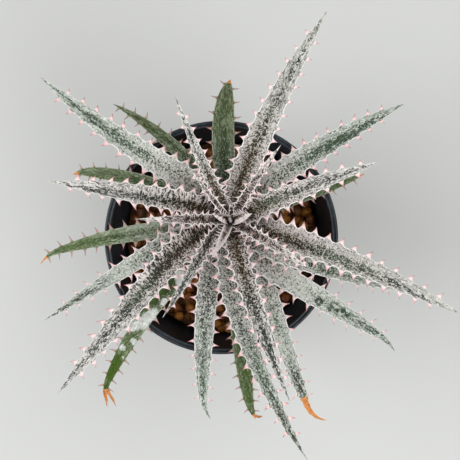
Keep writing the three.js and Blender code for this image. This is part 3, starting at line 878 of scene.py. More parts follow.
@dataclass(frozen=True)
class Oval:
    """A soft oval on a leaf with a tint of its own.

    It lies at a share of the length, off millimetres to the left, and reaches that many
    millimetres along and across the leaf. A strength below 0 takes from the tint, so that a bare
    oval then has more scales.
    """

    tint: Tint
    share: float
    off: float
    along: float
    across: float
    strength: float = 1.0


@dataclass(frozen=True)
class Strand:
    """A dry, curled strand of a frayed tip or margin, or a bristle, in millimetres and degrees."""

    share: float  # of the leaf's length, where it leaves the blade
    off: float  # to the left of the leaf's middle
    turn: float  # from the leaf's heading
    bend: float  # over its length
    length: float
    width: float
    dry: float = 1.0  # 1 is straw, 0 has the leaf's own scales
    drop: float = 0.0  # how much less than the leaf it rises


@dataclass(frozen=True)
class Growth:
    """How one leaf has grown, in millimetres and degrees."""

    node: str
    height: float  # of its base on the stem
    length: float
    width: float
    heading: tuple  # at the base, the shoulder and the tip, from +X
    rise: tuple  # at the same places, above the horizontal
    curl: float  # turn of the tip
    fullness: float  # how full its outline stays towards the tip
    look: Look
    frost: float = 1.0  # share of its scales that it has kept
    dry: float = 0.0  # length of its dead tip
    hatch: float = 1.0  # makes more of its scales crosswise dashes
    lopsided: float = 0.0  # how far to the left the channel's colour lies
    lap: float = 0.0  # wraps the left of its base further round the stem; below 0, the right
    spacing: float = 1.0  # of its teeth
    tooth: float = 1.0  # size of its teeth
    lean: tuple = (-0.12, 0.42)  # of its teeth to the tip, at the base and past the middle, in their lengths
    slender: bool = False  # whether its teeth are thin
    rim: float = 1.0  # makes the horny edge of a leaf in the heart wider
    patches: tuple = ()
    strands: tuple = ()


OLD, SILVER, PEWTER, BRONZE, HEART = Look.OLD, Look.SILVER, Look.PEWTER, Look.BRONZE, Look.HEART
GREEN, BROWN, BARE = Tint.GREEN, Tint.BROWN, Tint.BARE

LEAF_03_PATCHES = (
    Patch(0.3, 1.2, 5, thick=True), Patch(0.42, 2.4, 3.0, thick=True), Patch(0.49, 1.6, 4.2, thick=True),
    Patch(0.54, 0.4, 4.4, thick=True), Patch(0.58, -1.6, 3.0, thick=True), Patch(0.63, 1.6, 2.2, thick=True),
    Patch(0.68, -1.0, 2.2, thick=True), Patch(0.72, 1.2, 1.6, thick=True),
    Patch(0.36, -2.0, 6), Patch(0.43, -2.4, 4.6), Patch(0.49, -3.6, 3.2), Patch(0.78, 0, 9),
)
LEAF_10_PATCHES = (
    Patch(0.545, -1.4, 0.9, ring=1.2), Patch(0.605, -1.9, 1.1), Patch(0.64, -0.6, 1.3),
    Patch(0.665, 0.4, 1.5), Patch(0.69, -0.2, 1.2),
)
HEART_LEAF_1_PATCHES = (Patch(0.15, 0, 2.6), Patch(0.35, 0, 1.5), Patch(0.55, 0, 1.0))
HEART_LEAF_2_PATCHES = (
    Patch(0.12, -1.2, 2.6), Patch(0.3, -1.7, 1.8), Patch(0.8, -1.2, 1.4), Patch(0.22, 1.1, 1.8, thick=True),
    Patch(0.48, 0.9, 2.0, thick=True),
)
HEART_LEAF_3_PATCHES = (
    Patch(0.1, 1.5, 2.6), Patch(0.24, 1.9, 1.8), Patch(0.2, -1.3, 2.0, thick=True),
    Patch(0.46, -1.1, 2.4, thick=True), Patch(0.76, -0.2, 2.0, thick=True),
)

OVALS = {
    "leaf_01": (Oval(GREEN, 0.75, 0, 25, 4, 0.3), Oval(BARE, 0.75, 0, 25, 3, 0.7)),
    "leaf_03": (
        Oval(GREEN, 0.4, -2.2, 9, 2.6, 0.7), Oval(BARE, 0.4, -2.2, 9, 3), Oval(GREEN, 0.8, 0, 16, 6, 0.8),
        Oval(BARE, 0.84, 0, 14, 4),
    ),
    "leaf_04": (Oval(BROWN, 0.88, 0, 12, 4, 0.5),),
    "leaf_05": (
        Oval(GREEN, 0.74, 0.2, 16, 2.4, 0.5), Oval(BARE, 0.74, 0.2, 18, 2.8),
        Oval(BARE, 0.42, -3.4, 16, 2.2, -1.5),
    ),
    "leaf_06": (
        Oval(BARE, 0.58, -0.2, 10, 3.4, -1.2), Oval(GREEN, 0.25, 0.5, 5, 2), Oval(GREEN, 0.44, 0, 9, 2),
        Oval(BARE, 0.74, 0, 12, 5), Oval(BROWN, 0.76, 0, 8, 4, 0.5),
    ),
    "leaf_07": (Oval(BROWN, 0.9, 0, 9, 5, 0.4), Oval(BARE, 0.45, 0, 12, 3, 0.6)),
    "leaf_09": (
        Oval(BARE, 0.35, 0.8, 7, 2.4, 0.7), Oval(GREEN, 0.51, -2.2, 4.5, 1.3), Oval(GREEN, 0.8, 0, 9, 1.5),
    ),
    "leaf_10": (
        Oval(BARE, 0.44, 0, 15, 4.4, -1.2), Oval(BROWN, 0.25, 1.5, 8, 3), Oval(GREEN, 0.62, -0.6, 7, 2.6),
        Oval(BARE, 0.85, 0, 16, 1.6, 0.7),
    ),
    "leaf_11": (
        Oval(BARE, 0.57, 0, 10, 3.6, -1.2), Oval(BARE, 0.36, 0.4, 6, 2, 0.7), Oval(GREEN, 0.36, 0, 9, 2),
        Oval(BARE, 0.78, 0, 10, 2.4, 0.6), Oval(BROWN, 0.9, 0, 14, 3, 0.6), Oval(BARE, 0.93, 0, 8, 3, 0.8),
    ),
    "leaf_12": (Oval(GREEN, 0.53, -0.5, 4.5, 2.6), Oval(BARE, 0.53, -0.5, 3.5, 1.5)),
    "leaf_13": (
        Oval(BARE, 0.36, 3.2, 20, 2.2, -1), Oval(BARE, 0.36, -3.4, 20, 2, -0.8),
        Oval(GREEN, 0.55, -0.8, 22, 2.4), Oval(BARE, 0.55, -0.8, 16, 1.3, 0.6),
        Oval(BARE, 0.76, -0.3, 22, 3.6, 0.7),
    ),
    "leaf_14": (
        Oval(BARE, 0.36, 3.6, 20, 2.2, -0.8), Oval(BARE, 0.36, -3.6, 20, 2.2, -0.8),
        Oval(BROWN, 0.2, 0, 12, 7, 0.6), Oval(GREEN, 0.6, 0.4, 24, 2), Oval(BARE, 0.62, 0.4, 22, 1.6, 0.8),
    ),
    "leaf_15": (
        Oval(GREEN, 0.62, 0, 12, 2.4), Oval(BARE, 0.84, 0, 18, 2.6, 0.7), Oval(BROWN, 0.88, 0, 14, 3, 0.5),
    ),
    "leaf_16": (
        Oval(BROWN, 0.22, -0.6, 10, 2, 0.7), Oval(BARE, 0.34, -1.0, 22, 2.2, 0.6),
        Oval(GREEN, 0.46, -0.9, 7, 1.8), Oval(GREEN, 0.6, -0.5, 6, 1.6, 0.7),
    ),
    "leaf_17": (
        Oval(BROWN, 0.27, 0.8, 14, 1.6, 0.6), Oval(BARE, 0.26, 0.5, 16, 1.4, 0.8),
        Oval(GREEN, 0.5, -0.8, 9, 2.0, 0.8), Oval(BARE, 0.45, 0, 30, 1.1, 0.5),
    ),
    "leaf_18": (Oval(BROWN, 0.27, 0.2, 13, 1.3, 0.8), Oval(BARE, 0.27, 0.2, 15, 1.2, 0.9)),
    "leaf_19": (Oval(BROWN, 0.2, 0, 12, 3), Oval(BARE, 0.47, -2, 4, 1.3), Oval(BARE, 0.7, -0.4, 7, 1.4)),
    "leaf_20": (Oval(BROWN, 0.2, 0.8, 7, 2, 0.6), Oval(BARE, 0.35, 0.8, 20, 1.2, 0.9)),
    "leaf_21": (
        Oval(BROWN, 0.12, 0.4, 6, 4, 0.5), Oval(GREEN, 0.3, 0.9, 8, 2.4, 0.8),
        Oval(BARE, 0.32, 1.1, 4, 1.2, 0.7),
    ),
    "leaf_23": (Oval(BROWN, 0.3, 0, 9, 1.6), Oval(BARE, 0.3, 0, 10, 1, 0.5)),
    "leaf_28": (Oval(BROWN, 0.5, 0.1, 9, 0.6), Oval(BARE, 0.5, 0.1, 10, 0.7)),
    "heart_leaf_1": (Oval(BROWN, 0.3, 0, 5, 1), Oval(BARE, 0.35, 0, 5, 0.8)),
    "heart_leaf_2": (Oval(BROWN, 0.25, -1.2, 5, 1.2), Oval(BARE, 0.3, -1.2, 5, 1.2)),
    "heart_leaf_3": (Oval(BROWN, 0.3, 1.5, 6, 1.3), Oval(BARE, 0.35, 1.5, 6, 1.3)),
}

# From the oldest leaf to the youngest.
LEAVES = [
    Growth("leaf_01", 77.5, 88, 7.5, (273, 275, 281), (27, 11, -36), 15, 6, OLD, 0.25, dry=3.5,
           lean=(0, 0.35), slender=True, strands=(Strand(0.97, 0.2, 25, 60, 5, 1.2),)),
    Growth("leaf_02", 78, 72, 6, (147, 160, 178), (28, 12, -30), 20, 9, OLD, 0.45, dry=3.5,
           lean=(0, 0.3), slender=True),
    Growth("leaf_03", 79, 101, 8.5, (224, 230, 248), (28, 11, -42), 40, 3, OLD, 0.55, dry=9,
           lean=(0, 0.3), slender=True, patches=LEAF_03_PATCHES,
           strands=(Strand(0.9, -0.7, 6, 14, 12, 1.4), Strand(0.92, 0.6, 30, -12, 11, 1.2))),
    Growth("leaf_04", 79.6, 72, 7, (119, 132, 152), (28, 12, -30), 0, 3, OLD, 0.55, lean=(0, 0.3),
           slender=True),
    Growth("leaf_05", 80.3, 85.9, 8.5, (187, 187, 200), (28, 11, -32), 35, 2.6, OLD, 1.15, dry=6,
           lean=(0, 0.3), slender=True),
    Growth("leaf_06", 80.6, 98.6, 8.8, (306, 286, 294), (28, 12, -32), 60, 3, SILVER, 1.15, dry=18.5,
           lean=(0, 0.2), slender=True),
    Growth("leaf_07", 81.2, 60, 10, (96, 96, 78), (28, 13, -28), -10, 7, OLD, 0.45, dry=2.2,
           lean=(0, 0.3), slender=True),
    Growth("leaf_08", 81.8, 59, 4.5, (17, 19, 22), (22, 10, -22), 0, 6, OLD, 0.5, dry=4, lean=(0, 0.3),
           slender=True),
    Growth("leaf_09", 82.2, 87, 9.8, (243, 264, 273), (30, 14, -28), 30, 3.2, SILVER, 0.95,
           lean=(-0.2, 0.2), slender=True),
    Growth("leaf_10", 83.2, 89.4, 11, (302, 329, 328), (29, 12, -22), -25, 2.8, SILVER, 1.15,
           slender=True, patches=LEAF_10_PATCHES),
    Growth("leaf_11", 83.6, 89, 8.8, (190, 213, 212), (31, 15, -20), 0, 2.6, SILVER, 1.1, slender=True),
    Growth("leaf_12", 85.2, 83, 8.2, (316, 343, 346), (34, 18, -16), 0, 2.8, SILVER, 1.1, slender=True),
    Growth("leaf_13", 85.5, 87.6, 11, (51, 33, 25), (38, 22, -8), 0, 2.8, SILVER, 0.95, lopsided=-1.1,
           spacing=0.88, tooth=0.88),
    Growth("leaf_14", 86, 99, 11.5, (132, 150, 139), (39, 22, -10), 0, 2.6, SILVER, 1.12,
           lean=(-0.25, 0.3)),
    Growth("leaf_15", 86.3, 105.9, 9, (260, 289, 302), (36, 20, -10), 0, 2.6, SILVER, hatch=1.5,
           lean=(-0.1, 0.4)),
    Growth("leaf_16", 87.3, 104.1, 11, (346, 339, 331), (43, 25, -4), 0, 2.6, PEWTER, 1.05, hatch=0.3,
           lopsided=-0.9),
    Growth("leaf_17", 87.9, 102.8, 12, (200, 231, 230), (44, 27, -2), 0, 2.4, BRONZE, 0.95, hatch=2.2,
           lopsided=-0.3, lean=(-0.25, 0.6)),
    Growth("leaf_18", 88.5, 95.9, 12, (77, 66, 58), (45, 29, 0), 0, 2.4, PEWTER, hatch=0.4, tooth=0.82,
           lean=(-0.1, 0.35)),
    Growth("leaf_19", 89.3, 81, 8.8, (281, 288, 292), (47, 32, 4), 0, 2.6, BRONZE, 0.85,
           lean=(-0.15, -0.4), strands=(Strand(0.07, 1.2, 78, 50, 3.2, 0.55, 0.5),)),
    Growth("leaf_20", 90, 79.4, 9.8, (151, 171, 173), (46, 30, 4), 0, 2.6, BRONZE, hatch=2.2,
           lopsided=0.9, lean=(-0.1, -0.45)),
    Growth("leaf_21", 91, 69, 9.5, (25, 23, 17), (49, 33, 6), 0, 2.4, BRONZE, lean=(-0.1, 0.2)),
    Growth("leaf_22", 92, 56, 5.2, (216, 242, 236), (56, 43, 18), 0, 2.6, BRONZE, 0.8, hatch=0.6),
    Growth("leaf_23", 93, 63.2, 5.6, (115, 117, 110), (57, 43, 16), 0, 2.6, BRONZE, lean=(-0.1, 0.2)),
    Growth("leaf_24", 93.8, 48, 4.8, (332, 329, 323), (60, 47, 24), 0, 2.6, HEART, 1.05),
    Growth("leaf_25", 95, 50, 4.8, (174, 182, 179), (63, 51, 28), 0, 2.6, HEART, 0.88),
    Growth("leaf_26", 96, 48.6, 4.4, (60, 58, 52), (65, 53, 30), 0, 2.6, HEART),
    Growth("leaf_27", 97.4, 39, 3, (130, 130, 125), (70, 59, 38), 0, 2.6, HEART),
    Growth("leaf_28", 98.2, 28, 3.8, (246, 246, 236), (73, 62, 44), 0, 2.4, HEART, 2.2,
           strands=tuple(Strand(0.2 + 0.09 * k, -1.3 - 0.1 * k, -75, -20, 4.2, 0.26, 0.0) for k in range(4))),
    Growth("heart_leaf_1", 99.4, 15, 2.3, (84, 90, 100), (76, 66, 50), 30, 2, HEART, tooth=0.15, rim=2.4,
           patches=HEART_LEAF_1_PATCHES),
    Growth("heart_leaf_2", 100.2, 13, 3.6, (168, 160, 150), (76, 64, 48), 0, 2, HEART, 1.3,
           lopsided=-1.0, lap=0.6, tooth=0.7, patches=HEART_LEAF_2_PATCHES,
           strands=tuple(Strand(0.22 + 0.17 * k, -1.4, -60, -40, 2.6, 0.24, 0.0, 45) for k in range(3))),
    Growth("heart_leaf_3", 101, 14.6, 4.4, (10, 17, 27), (76, 62, 46), 0, 2, HEART, 1.3, lopsided=1.3,
           lap=-0.6, patches=HEART_LEAF_3_PATCHES,
           strands=tuple(
               Strand(0.2 + 0.13 * k, 1.6, 95, 20, 2.8 - 0.15 * k, 0.26, 0.0, 45) for k in range(4)
           )),
]

# A strand's section, as shares of its half width and of its thickness.
STRAND_SECTION = (
    (1, 0.25), (0.5, 0.05), (0, 0), (-0.5, 0.05), (-1, 0.25), (-0.5, -0.22), (0, -0.28), (0.5, -0.22),
)


@dataclass
class Stem:
    """The short woody stem, ringed by the scars of fallen leaves."""

    at: tuple = (4.0, 7.0)
    foot: float = 50.0
    low: float = 77.0
    low_radius: float = 4.2
    top: float = 102.0
    top_radius: float = 1.2
    point: float = 0.8
    step: float = 0.4  # height of a mesh row
    ring_pitch: float = 1.9
    ring_depth: float = 0.3
    ring_tilt: float = 0.5
    wood_segments: int = 36
    bud_foot: float = 99.4
    bud_size: tuple = (1.6, 0.85)  # half the length and the width of the rolled bud
    bud_turn: float = 18.0  # degrees that it is turned to the left
    bud_off: tuple = (-0.3, 0.75)  # from the stem's middle
    bud_blunt: float = 0.6
    bud_rows: int = 22
    bud_segments: int = 48
    fold_twist: float = 0.9  # radians to the millimetre
    fold_pace: float = 1.5  # folds to a half turn
    fold_edge: int = 24  # how narrow they are
    fold_depth: float = 0.18
    finish: DryBark = field(default_factory=DryBark)
    down: BudDown = field(default_factory=BudDown)

    def radius(self, height: float) -> float:
        """Returns the stem's radius at a height."""
        share = min(max((height - self.low) / (self.top - self.low), 0.0), 1.0)
        return lerp(self.low_radius, self.top_radius, share)

    def make(self) -> list:
        """Returns the stem and the rolled leaf bud on its tip."""
        return [self.wood(), self.bud()]

    def bud(self) -> bpy.types.Object:
        """Returns the bud: a blunt spindle, flattened, of leaves rolled round each other."""
        high = self.top + self.point
        outline = [(0, self.bud_foot)]
        for share in np.linspace(0, 1, self.bud_rows)[:-1]:
            radius = math.sin(math.pi * (0.5 + 0.5 * share)) ** self.bud_blunt
            outline.append((radius, lerp(self.bud_foot, high, share)))
        corners, faces = turned(outline + [(0, high)], self.bud_segments)
        angle = np.arctan2(corners[:, 1], corners[:, 0]) + (corners[:, 2] - self.bud_foot) * self.fold_twist
        fold = np.clip(np.cos(self.fold_pace * angle) ** self.fold_edge, 0, 1)
        x = corners[:, 0] * self.bud_size[1] * (1 - self.fold_depth * fold)
        y = corners[:, 1] * self.bud_size[0] * (1 - self.fold_depth * fold)
        turn = math.radians(self.bud_turn)
        corners[:, 0] = x * math.cos(turn) - y * math.sin(turn) + self.at[0] + self.bud_off[0]
        corners[:, 1] = x * math.sin(turn) + y * math.cos(turn) + self.at[1] + self.bud_off[1]
        bud = new_object("rolled_bud", corners, faces)
        # The folds' depth sets the painted shade in the down's colour.
        give_values(bud, "fold_depth", fold)
        finish_piece(bud, "stem", self.down.dress())
        return bud

    def wood(self) -> bpy.types.Object:
        """Returns the woody stem."""
        top = self.bud_foot + 0.6
        outline = [(0, self.foot), (self.low_radius - 1, self.foot), (self.low_radius - 0.2, self.foot + 1)]
        for height in np.arange(self.foot + 2, top, self.step):
            ring = abs(math.sin(math.pi * height / self.ring_pitch))
            outline.append((self.radius(height) - self.ring_depth * ring, height))
        outline += [(self.radius(top) * 0.8, top), (0, top + 0.1)]
        corners, faces = turned(outline, self.wood_segments)
        angle = np.arctan2(corners[:, 1], corners[:, 0])
        ringed = (corners[:, 2] < top - 2) * (corners[:, 2] > self.foot + 2)
        corners[:, 2] += self.ring_tilt * np.sin(3 * angle) * ringed
        corners += (*self.at, 0)
        stem = new_object("woody_stem", corners, faces)
        finish_piece(stem, "stem", self.finish.dress())
        return stem


@dataclass
class Teeth:
    """The hooked teeth of a leaf's margin. Sizes are a wide leaf's; a narrow leaf's are smaller."""

    narrow_leaf: float = 4.0
    wide_leaf: float = 10.0
    pitch: float = 5.3
    narrow_pitch: float = 4.3
    spread: float = 0.15  # growth of the pitch towards the tip
    narrow_size: float = 0.75
    tip_size: float = 0.68
    old_size: float = 1.1
    length: float = 3.4
    stagger: float = 0.9
    uneven: tuple = (0.35, 0.12, 0.12)  # how far a tooth strays: mm along the margin, size and lean
    start: float = 15.0  # distance from the plant's axis to the first full tooth
    inner_start: float = 8.5  # smaller ones reach in to here
    heart_start: float = 4.5  # and to here on the young leaves in the heart
    inner_pitch: float = 0.82  # of those, beside the full ones
    inner_size: float = 0.8
    bare_tip: float = 0.13
    bare_old_tip: float = 0.07
    bare_dead: float = 1.5  # from the last tooth to where a dead tip starts
    bud_leaf: float = 20.0  # a leaf shorter than this has tiny teeth
    bud_pitch: float = 1.0
    bud_size: float = 0.55
    bud_hidden: float = 0.15  # size of the ones on the side that is rolled in, beside the others
    bud_pink: float = 0.2  # how pink those are beside the other teeth
    bud_reach: tuple = (0.2, 0.85)  # shares of its length between which they stand
    bud_flare: float = 0.3  # reach of their roots along the margin
    bud_lean: float = -0.45  # to the tip, in their lengths
    scallop: tuple = (0.5, 0.22)  # depth of the hollow between two teeth, at the base and the tip
    flare: tuple = (2.4, 2.2)  # reach of a tooth's root along the margin
    slender: tuple = (1.7, 1.1)  # the same on an older leaf
    lean_reach: tuple = (0.2, 0.6)  # shares of the length between which the lean changes
    later: tuple = (0.25, 0.6)  # and the hollows and the roots
    steps: int = 6  # mesh rows from a tooth's point to the middle of the hollow
    crowding: float = 1.35  # how much closer these rows lie near the point
    curve: tuple = (0.885, 1.65)  # powers that curve a tooth's outline at its point and at its root

    def profile(self, offset: np.ndarray, tall: float, flare: float) -> np.ndarray:
        """Returns how far a tooth reaches out at an offset along the margin from its point."""
        sharp, hollow = self.curve
        return tall * (1 - np.minimum(np.abs(offset) / flare, 1) ** sharp) ** hollow


@dataclass
class Rosette:
    """The leaves, each a channelled blade that wraps the stem at its base."""

    stem: Stem
    teeth: Teeth = field(default_factory=Teeth)
    seed: int = 100  # of the first leaf; each other's is one more
    clearance: float = 0.3
    shoulder: float = 0.35
    curl_start: float = 0.85
    sheath_end: float = 9.0
    blade_start: float = 26.0
    sheath_spread: float = 0.65
    sheath_least: float = 0.3  # half its width at the axis
    sheath_thickness: float = 0.8
    thicken: tuple = (8.0, 20.0)  # distances from the axis between which a sheath turns into a blade
    thickness_base: float = 0.7
    thickness_share: float = 0.085
    dead_fade: float = 0.8  # half the length over which a leaf dies back
    shrunk: tuple = (0.22, 0.1, 1.7)  # how much narrower a dead tip is, and its waves' depth and pace
    dead_thin: float = 0.35  # and how much thinner
    channel_flat: float = 0.2
    channel_deep: float = 0.45
    channel_rise: tuple = (30, 50)  # rises of a leaf between which its channel gets deep
    line_steps: int = 120
    base_rows: int = 8  # mesh rows before the first tooth
    tip_rows: int = 18  # and after the last
    tip_share: float = 0.997
    tip_under: float = 0.2  # how far under the blade's face its tip lies
    blade_columns: tuple = (0.0, 0.22, 0.44, 0.64, 0.83, 1.0)  # shares of the width inside the edge
    edge_columns: tuple = (0.35, 0.7, 1.0)  # shares of the edge, the last on the margin
    edge_width: float = 1.7
    edge_most: float = 0.4  # share of a half width that the edge takes at most
    edge_weight: float = 0.25  # of the edge in how far out a column stands
    hollow_width: float = 0.3  # share of the width; a narrower half blade has shallower hollows
    hook: float = 1.9  # power that bends a tooth to its side
    tooth_lift: float = 0.3
    section_powers: tuple = (2.5, 0.75)  # of the blade's roundness underneath, and of its edge's
    bud_edge: float = 1.3  # steepness of the horny edge on a leaf in the heart
    edge_share: float = 0.2  # and on another, to a millimetre of width
    bare_and_shaded_base: tuple = (3.0, 20.0)  # where the scales start, along a leaf from its base; the dark bare base is partly the sheath's own skin, partly painted shade under the leaves above
    worn_and_shaded: float = 0.6  # share of the scales that the base keeps, darker for the bare sheath and for painted shade
    hatch_left: tuple = (0.35, 0.0, 0.3)  # share of the dashes that the left keeps, and where
    hatch_tip: tuple = (0.2, 0.45, 0.62)  # and that the tip keeps
    strand_rows: int = 26
    strand_under: float = 0.3  # how far under the blade's face a strand starts
    strand_sway: tuple = (8, 5)  # degrees that it rises and falls, and how often
    strand_waves: tuple = (0.2, 9)  # share of its width that comes and goes, and how often
    strand_taper: tuple = (2.2, 0.08)  # power of its taper, and half the width of its point
    strand_twist: float = 70.0  # degrees

    def make(self) -> list:
        """Returns the leaves and their frayed strands, each dressed."""
        skins = {look: look.value.dress() for look in Look}
        pieces = []
        for number, leaf in enumerate(LEAVES):
            random = np.random.default_rng(self.seed + number)
            own = [self.leaf(leaf, random)] + self.strands(leaf, random)
            for piece in own:
                finish_piece(piece, leaf.node, skins[leaf.look])
            pieces += own
        return pieces

    def along(self, values: tuple, share: np.ndarray) -> np.ndarray:
        """Returns the value at a share of the length, from those at base, shoulder and tip."""
        return np.interp(share, (0.0, self.shoulder, 1.0), values)

    @staticmethod
    def moves(heading: np.ndarray, rise: np.ndarray) -> np.ndarray:
        """Returns steps of length 1 along a heading and a rise, in radians."""
        flat = np.cos(rise)
        return np.stack([flat * np.cos(heading), flat * np.sin(heading), np.sin(rise)], axis=1)

    def centreline(self, leaf: Growth) -> dict:
        """Returns points down the middle of a leaf, with heading and rise in radians."""
        share = np.linspace(0, 1, self.line_steps + 1)
        turn = leaf.curl * np.maximum(0, (share - self.curl_start) / (1 - self.curl_start))
        heading = np.radians(self.along(leaf.heading, share) + turn)
        rise = np.radians(self.along(leaf.rise, share))
        step = leaf.length / self.line_steps
        start = self.stem.radius(leaf.height) + self.clearance
        angle = math.radians(leaf.heading[0])
        points = np.cumsum(np.vstack([[0, 0, 0], self.moves(heading, rise)[:-1] * step]), axis=0)
        points += (start * math.cos(angle), start * math.sin(angle), leaf.height)
        return {"share": share, "point": points, "heading": heading, "rise": rise}

    def section(self, leaf: Growth, line: dict, share: np.ndarray, side: int = 0) -> dict:
        """Returns the sizes of a leaf's section at each share of its length.

        Args:
            leaf: The leaf.
            line: Its centreline.
            share: Shares of its length.
            side: 1 for the left, -1 for the right, 0 for both alike.

        Returns:
            The middle, its heading and rise, its distance from the axis, how free it is of the
            sheath, half the width, the thickness and the height of the channel's sides.
        """
        share = np.clip(share, 0, 1)
        point = np.stack([np.interp(share, line["share"], line["point"][:, k]) for k in range(3)], axis=-1)
        away = np.hypot(point[..., 0], point[..., 1])
        blade = leaf.width / 2 * (1 - share**leaf.fullness)
        spread = self.sheath_spread + max(0.0, side * leaf.lap)
        half = np.minimum(blade, spread * away + self.sheath_least)
        full = self.thickness_base + self.thickness_share * leaf.width * (1 - share)
        sheath = np.minimum(self.sheath_thickness, full)
        thickness = lerp(sheath, full, smoothstep(away, *self.thicken))
        dead = self.dead(leaf, share)
        shrink, depth, pace = self.shrunk
        deep = smoothstep(leaf.rise[1], *self.channel_rise)
        return {
            "point": point,
            "heading": np.interp(share, line["share"], line["heading"]),
            "rise": np.interp(share, line["share"], line["rise"]),
            "away": away,
            "free": smoothstep(away, self.sheath_end, self.blade_start),
            "half": half * (1 - dead * (shrink + depth * np.sin(share * leaf.length * pace))),
            "thickness": thickness * (1 - self.dead_thin * dead),
            "channel": half * lerp(self.channel_flat, self.channel_deep, deep),
        }

    def dead(self, leaf: Growth, share: np.ndarray) -> np.ndarray:
        """Returns 1 where the leaf is dry, and 0 where it lives."""
        if not leaf.dry:
            return np.zeros(np.shape(share))
        start = 1 - leaf.dry / leaf.length
        fade = self.dead_fade / leaf.length
        return smoothstep(share, start - fade, start + fade)

    def placed(self, section: dict, sideways: np.ndarray, above: np.ndarray) -> np.ndarray:
        """Returns the place of points by their sideways offset and their height above the middle.

        Close to the axis the sideways offset runs round it, so that the bases nest as cones do.

        Args:
            section: The leaf's section at each point.
            sideways: Offsets to the left.
            above: Heights over the middle.

        Returns:
            One row of x, y, z for each point.
        """
        x, y, z = (section["point"][..., k] for k in range(3))
        heading, rise, away, free = (section[k] for k in ("heading", "rise", "away", "free"))
        lean = above * np.sin(rise)
        flat_x = x - sideways * np.sin(heading) - lean * np.cos(heading)
        flat_y = y + sideways * np.cos(heading) - lean * np.sin(heading)
        angle = np.arctan2(y, x) + sideways / away
        reach = away - lean
        place_x = lerp(reach * np.cos(angle), flat_x, free) + self.stem.at[0]
        place_y = lerp(reach * np.sin(angle), flat_y, free) + self.stem.at[1]
        return np.stack([place_x, place_y, z + above * np.cos(rise)], axis=-1)

    def tooth_centres(self, leaf: Growth, line: dict) -> tuple[np.ndarray, np.ndarray]:
        """Returns the share and the size of each tooth of a leaf."""
        teeth = self.teeth
        if leaf.length < teeth.bud_leaf:
            centres = np.arange(*teeth.bud_reach, teeth.bud_pitch / leaf.length)
            return centres, np.full(len(centres), teeth.bud_size * leaf.tooth)
        wide = float(smoothstep(leaf.width, teeth.narrow_leaf, teeth.wide_leaf))
        away = np.hypot(line["point"][:, 0], line["point"][:, 1])
        first = line["share"][np.argmax(away >= teeth.start)]
        bare = teeth.bare_old_tip if leaf.look is Look.OLD else teeth.bare_tip
        last = 1 - max(bare, (leaf.dry + teeth.bare_dead) / leaf.length)
        pitch = lerp(teeth.narrow_pitch, teeth.pitch, wide) * leaf.spacing
        step = np.linspace(0, 1, max(2, round((last - first) * leaf.length / pitch)))
        centres = first + (last - first) * (step + teeth.spread * step**2) / (1 + teeth.spread)
        reach = teeth.heart_start if leaf.look is Look.HEART else teeth.inner_start
        inner = line["share"][np.argmax(away >= reach)]
        step = teeth.inner_pitch * (centres[1] - centres[0])
        extra = np.arange(first - step, inner, -step)[::-1]
        centres = np.concatenate([extra, centres])
        size = leaf.tooth * lerp(teeth.narrow_size, 1, wide) * lerp(1, teeth.tip_size, centres)
        size *= np.where(np.arange(len(centres)) < len(extra), teeth.inner_size, 1.0)
        return centres, size

    def margin(
        self, leaf: Growth, centres: np.ndarray, size: np.ndarray, side: int, random: np.random.Generator
    ) -> dict:
        """Returns one margin, row by row: its share of the length, its offset outwards and its hook.

        Args:
            leaf: The leaf.
            centres: The share of the length at each tooth.
            size: The size of each tooth.
            side: 1 for the left margin, -1 for the right.
            random: The leaf's own random numbers.

        Returns:
            Arrays share, out, lean and length, with one value for each mesh row.
        """
        teeth = self.teeth
        small = leaf.length < teeth.bud_leaf
        stray, uneven, swing = teeth.uneven
        jitter = random.uniform(-stray, stray, len(centres)) / leaf.length
        own = centres + side * teeth.stagger / leaf.length + jitter
        size = size * random.uniform(1 - uneven, 1 + uneven, len(centres))
        if small and side * leaf.lopsided < 0:
            size = size * teeth.bud_hidden
        lean = lerp(*leaf.lean, smoothstep(centres, *teeth.lean_reach))
        if small:
            lean = np.full(len(centres), teeth.bud_lean)
        lean = lean + random.uniform(-swing, swing, len(centres))
        gaps = np.diff(own) * leaf.length
        gaps = np.concatenate([[gaps[0]], gaps, [gaps[-1]]])
        near = (np.arange(teeth.steps + 1) / teeth.steps) ** teeth.crowding
        columns = {"share": [], "out": [], "lean": [], "length": []}
        for k, middle in enumerate(own):
            last = k == len(own) - 1
            after = near[: None if last else -1] * gaps[k + 1] / 2
            offset = np.concatenate([-near[:0:-1] * gaps[k] / 2, after])
            tall = teeth.length * size[k] * (teeth.old_size if leaf.look is Look.OLD else 1.0)
            later = smoothstep(middle, *teeth.later)
            deep = lerp(*teeth.scallop, later) * size[k]
            flare = lerp(*(teeth.slender if leaf.slender else teeth.flare), later) * size[k]
            if small:
                flare = teeth.bud_flare
            columns["share"].append(middle + offset / leaf.length)
            columns["out"].append(teeth.profile(offset, tall + deep, flare) - deep)
            columns["lean"].append(np.full(len(offset), lean[k]))
            columns["length"].append(np.full(len(offset), tall))
        return {key: np.concatenate(parts) for key, parts in columns.items()}

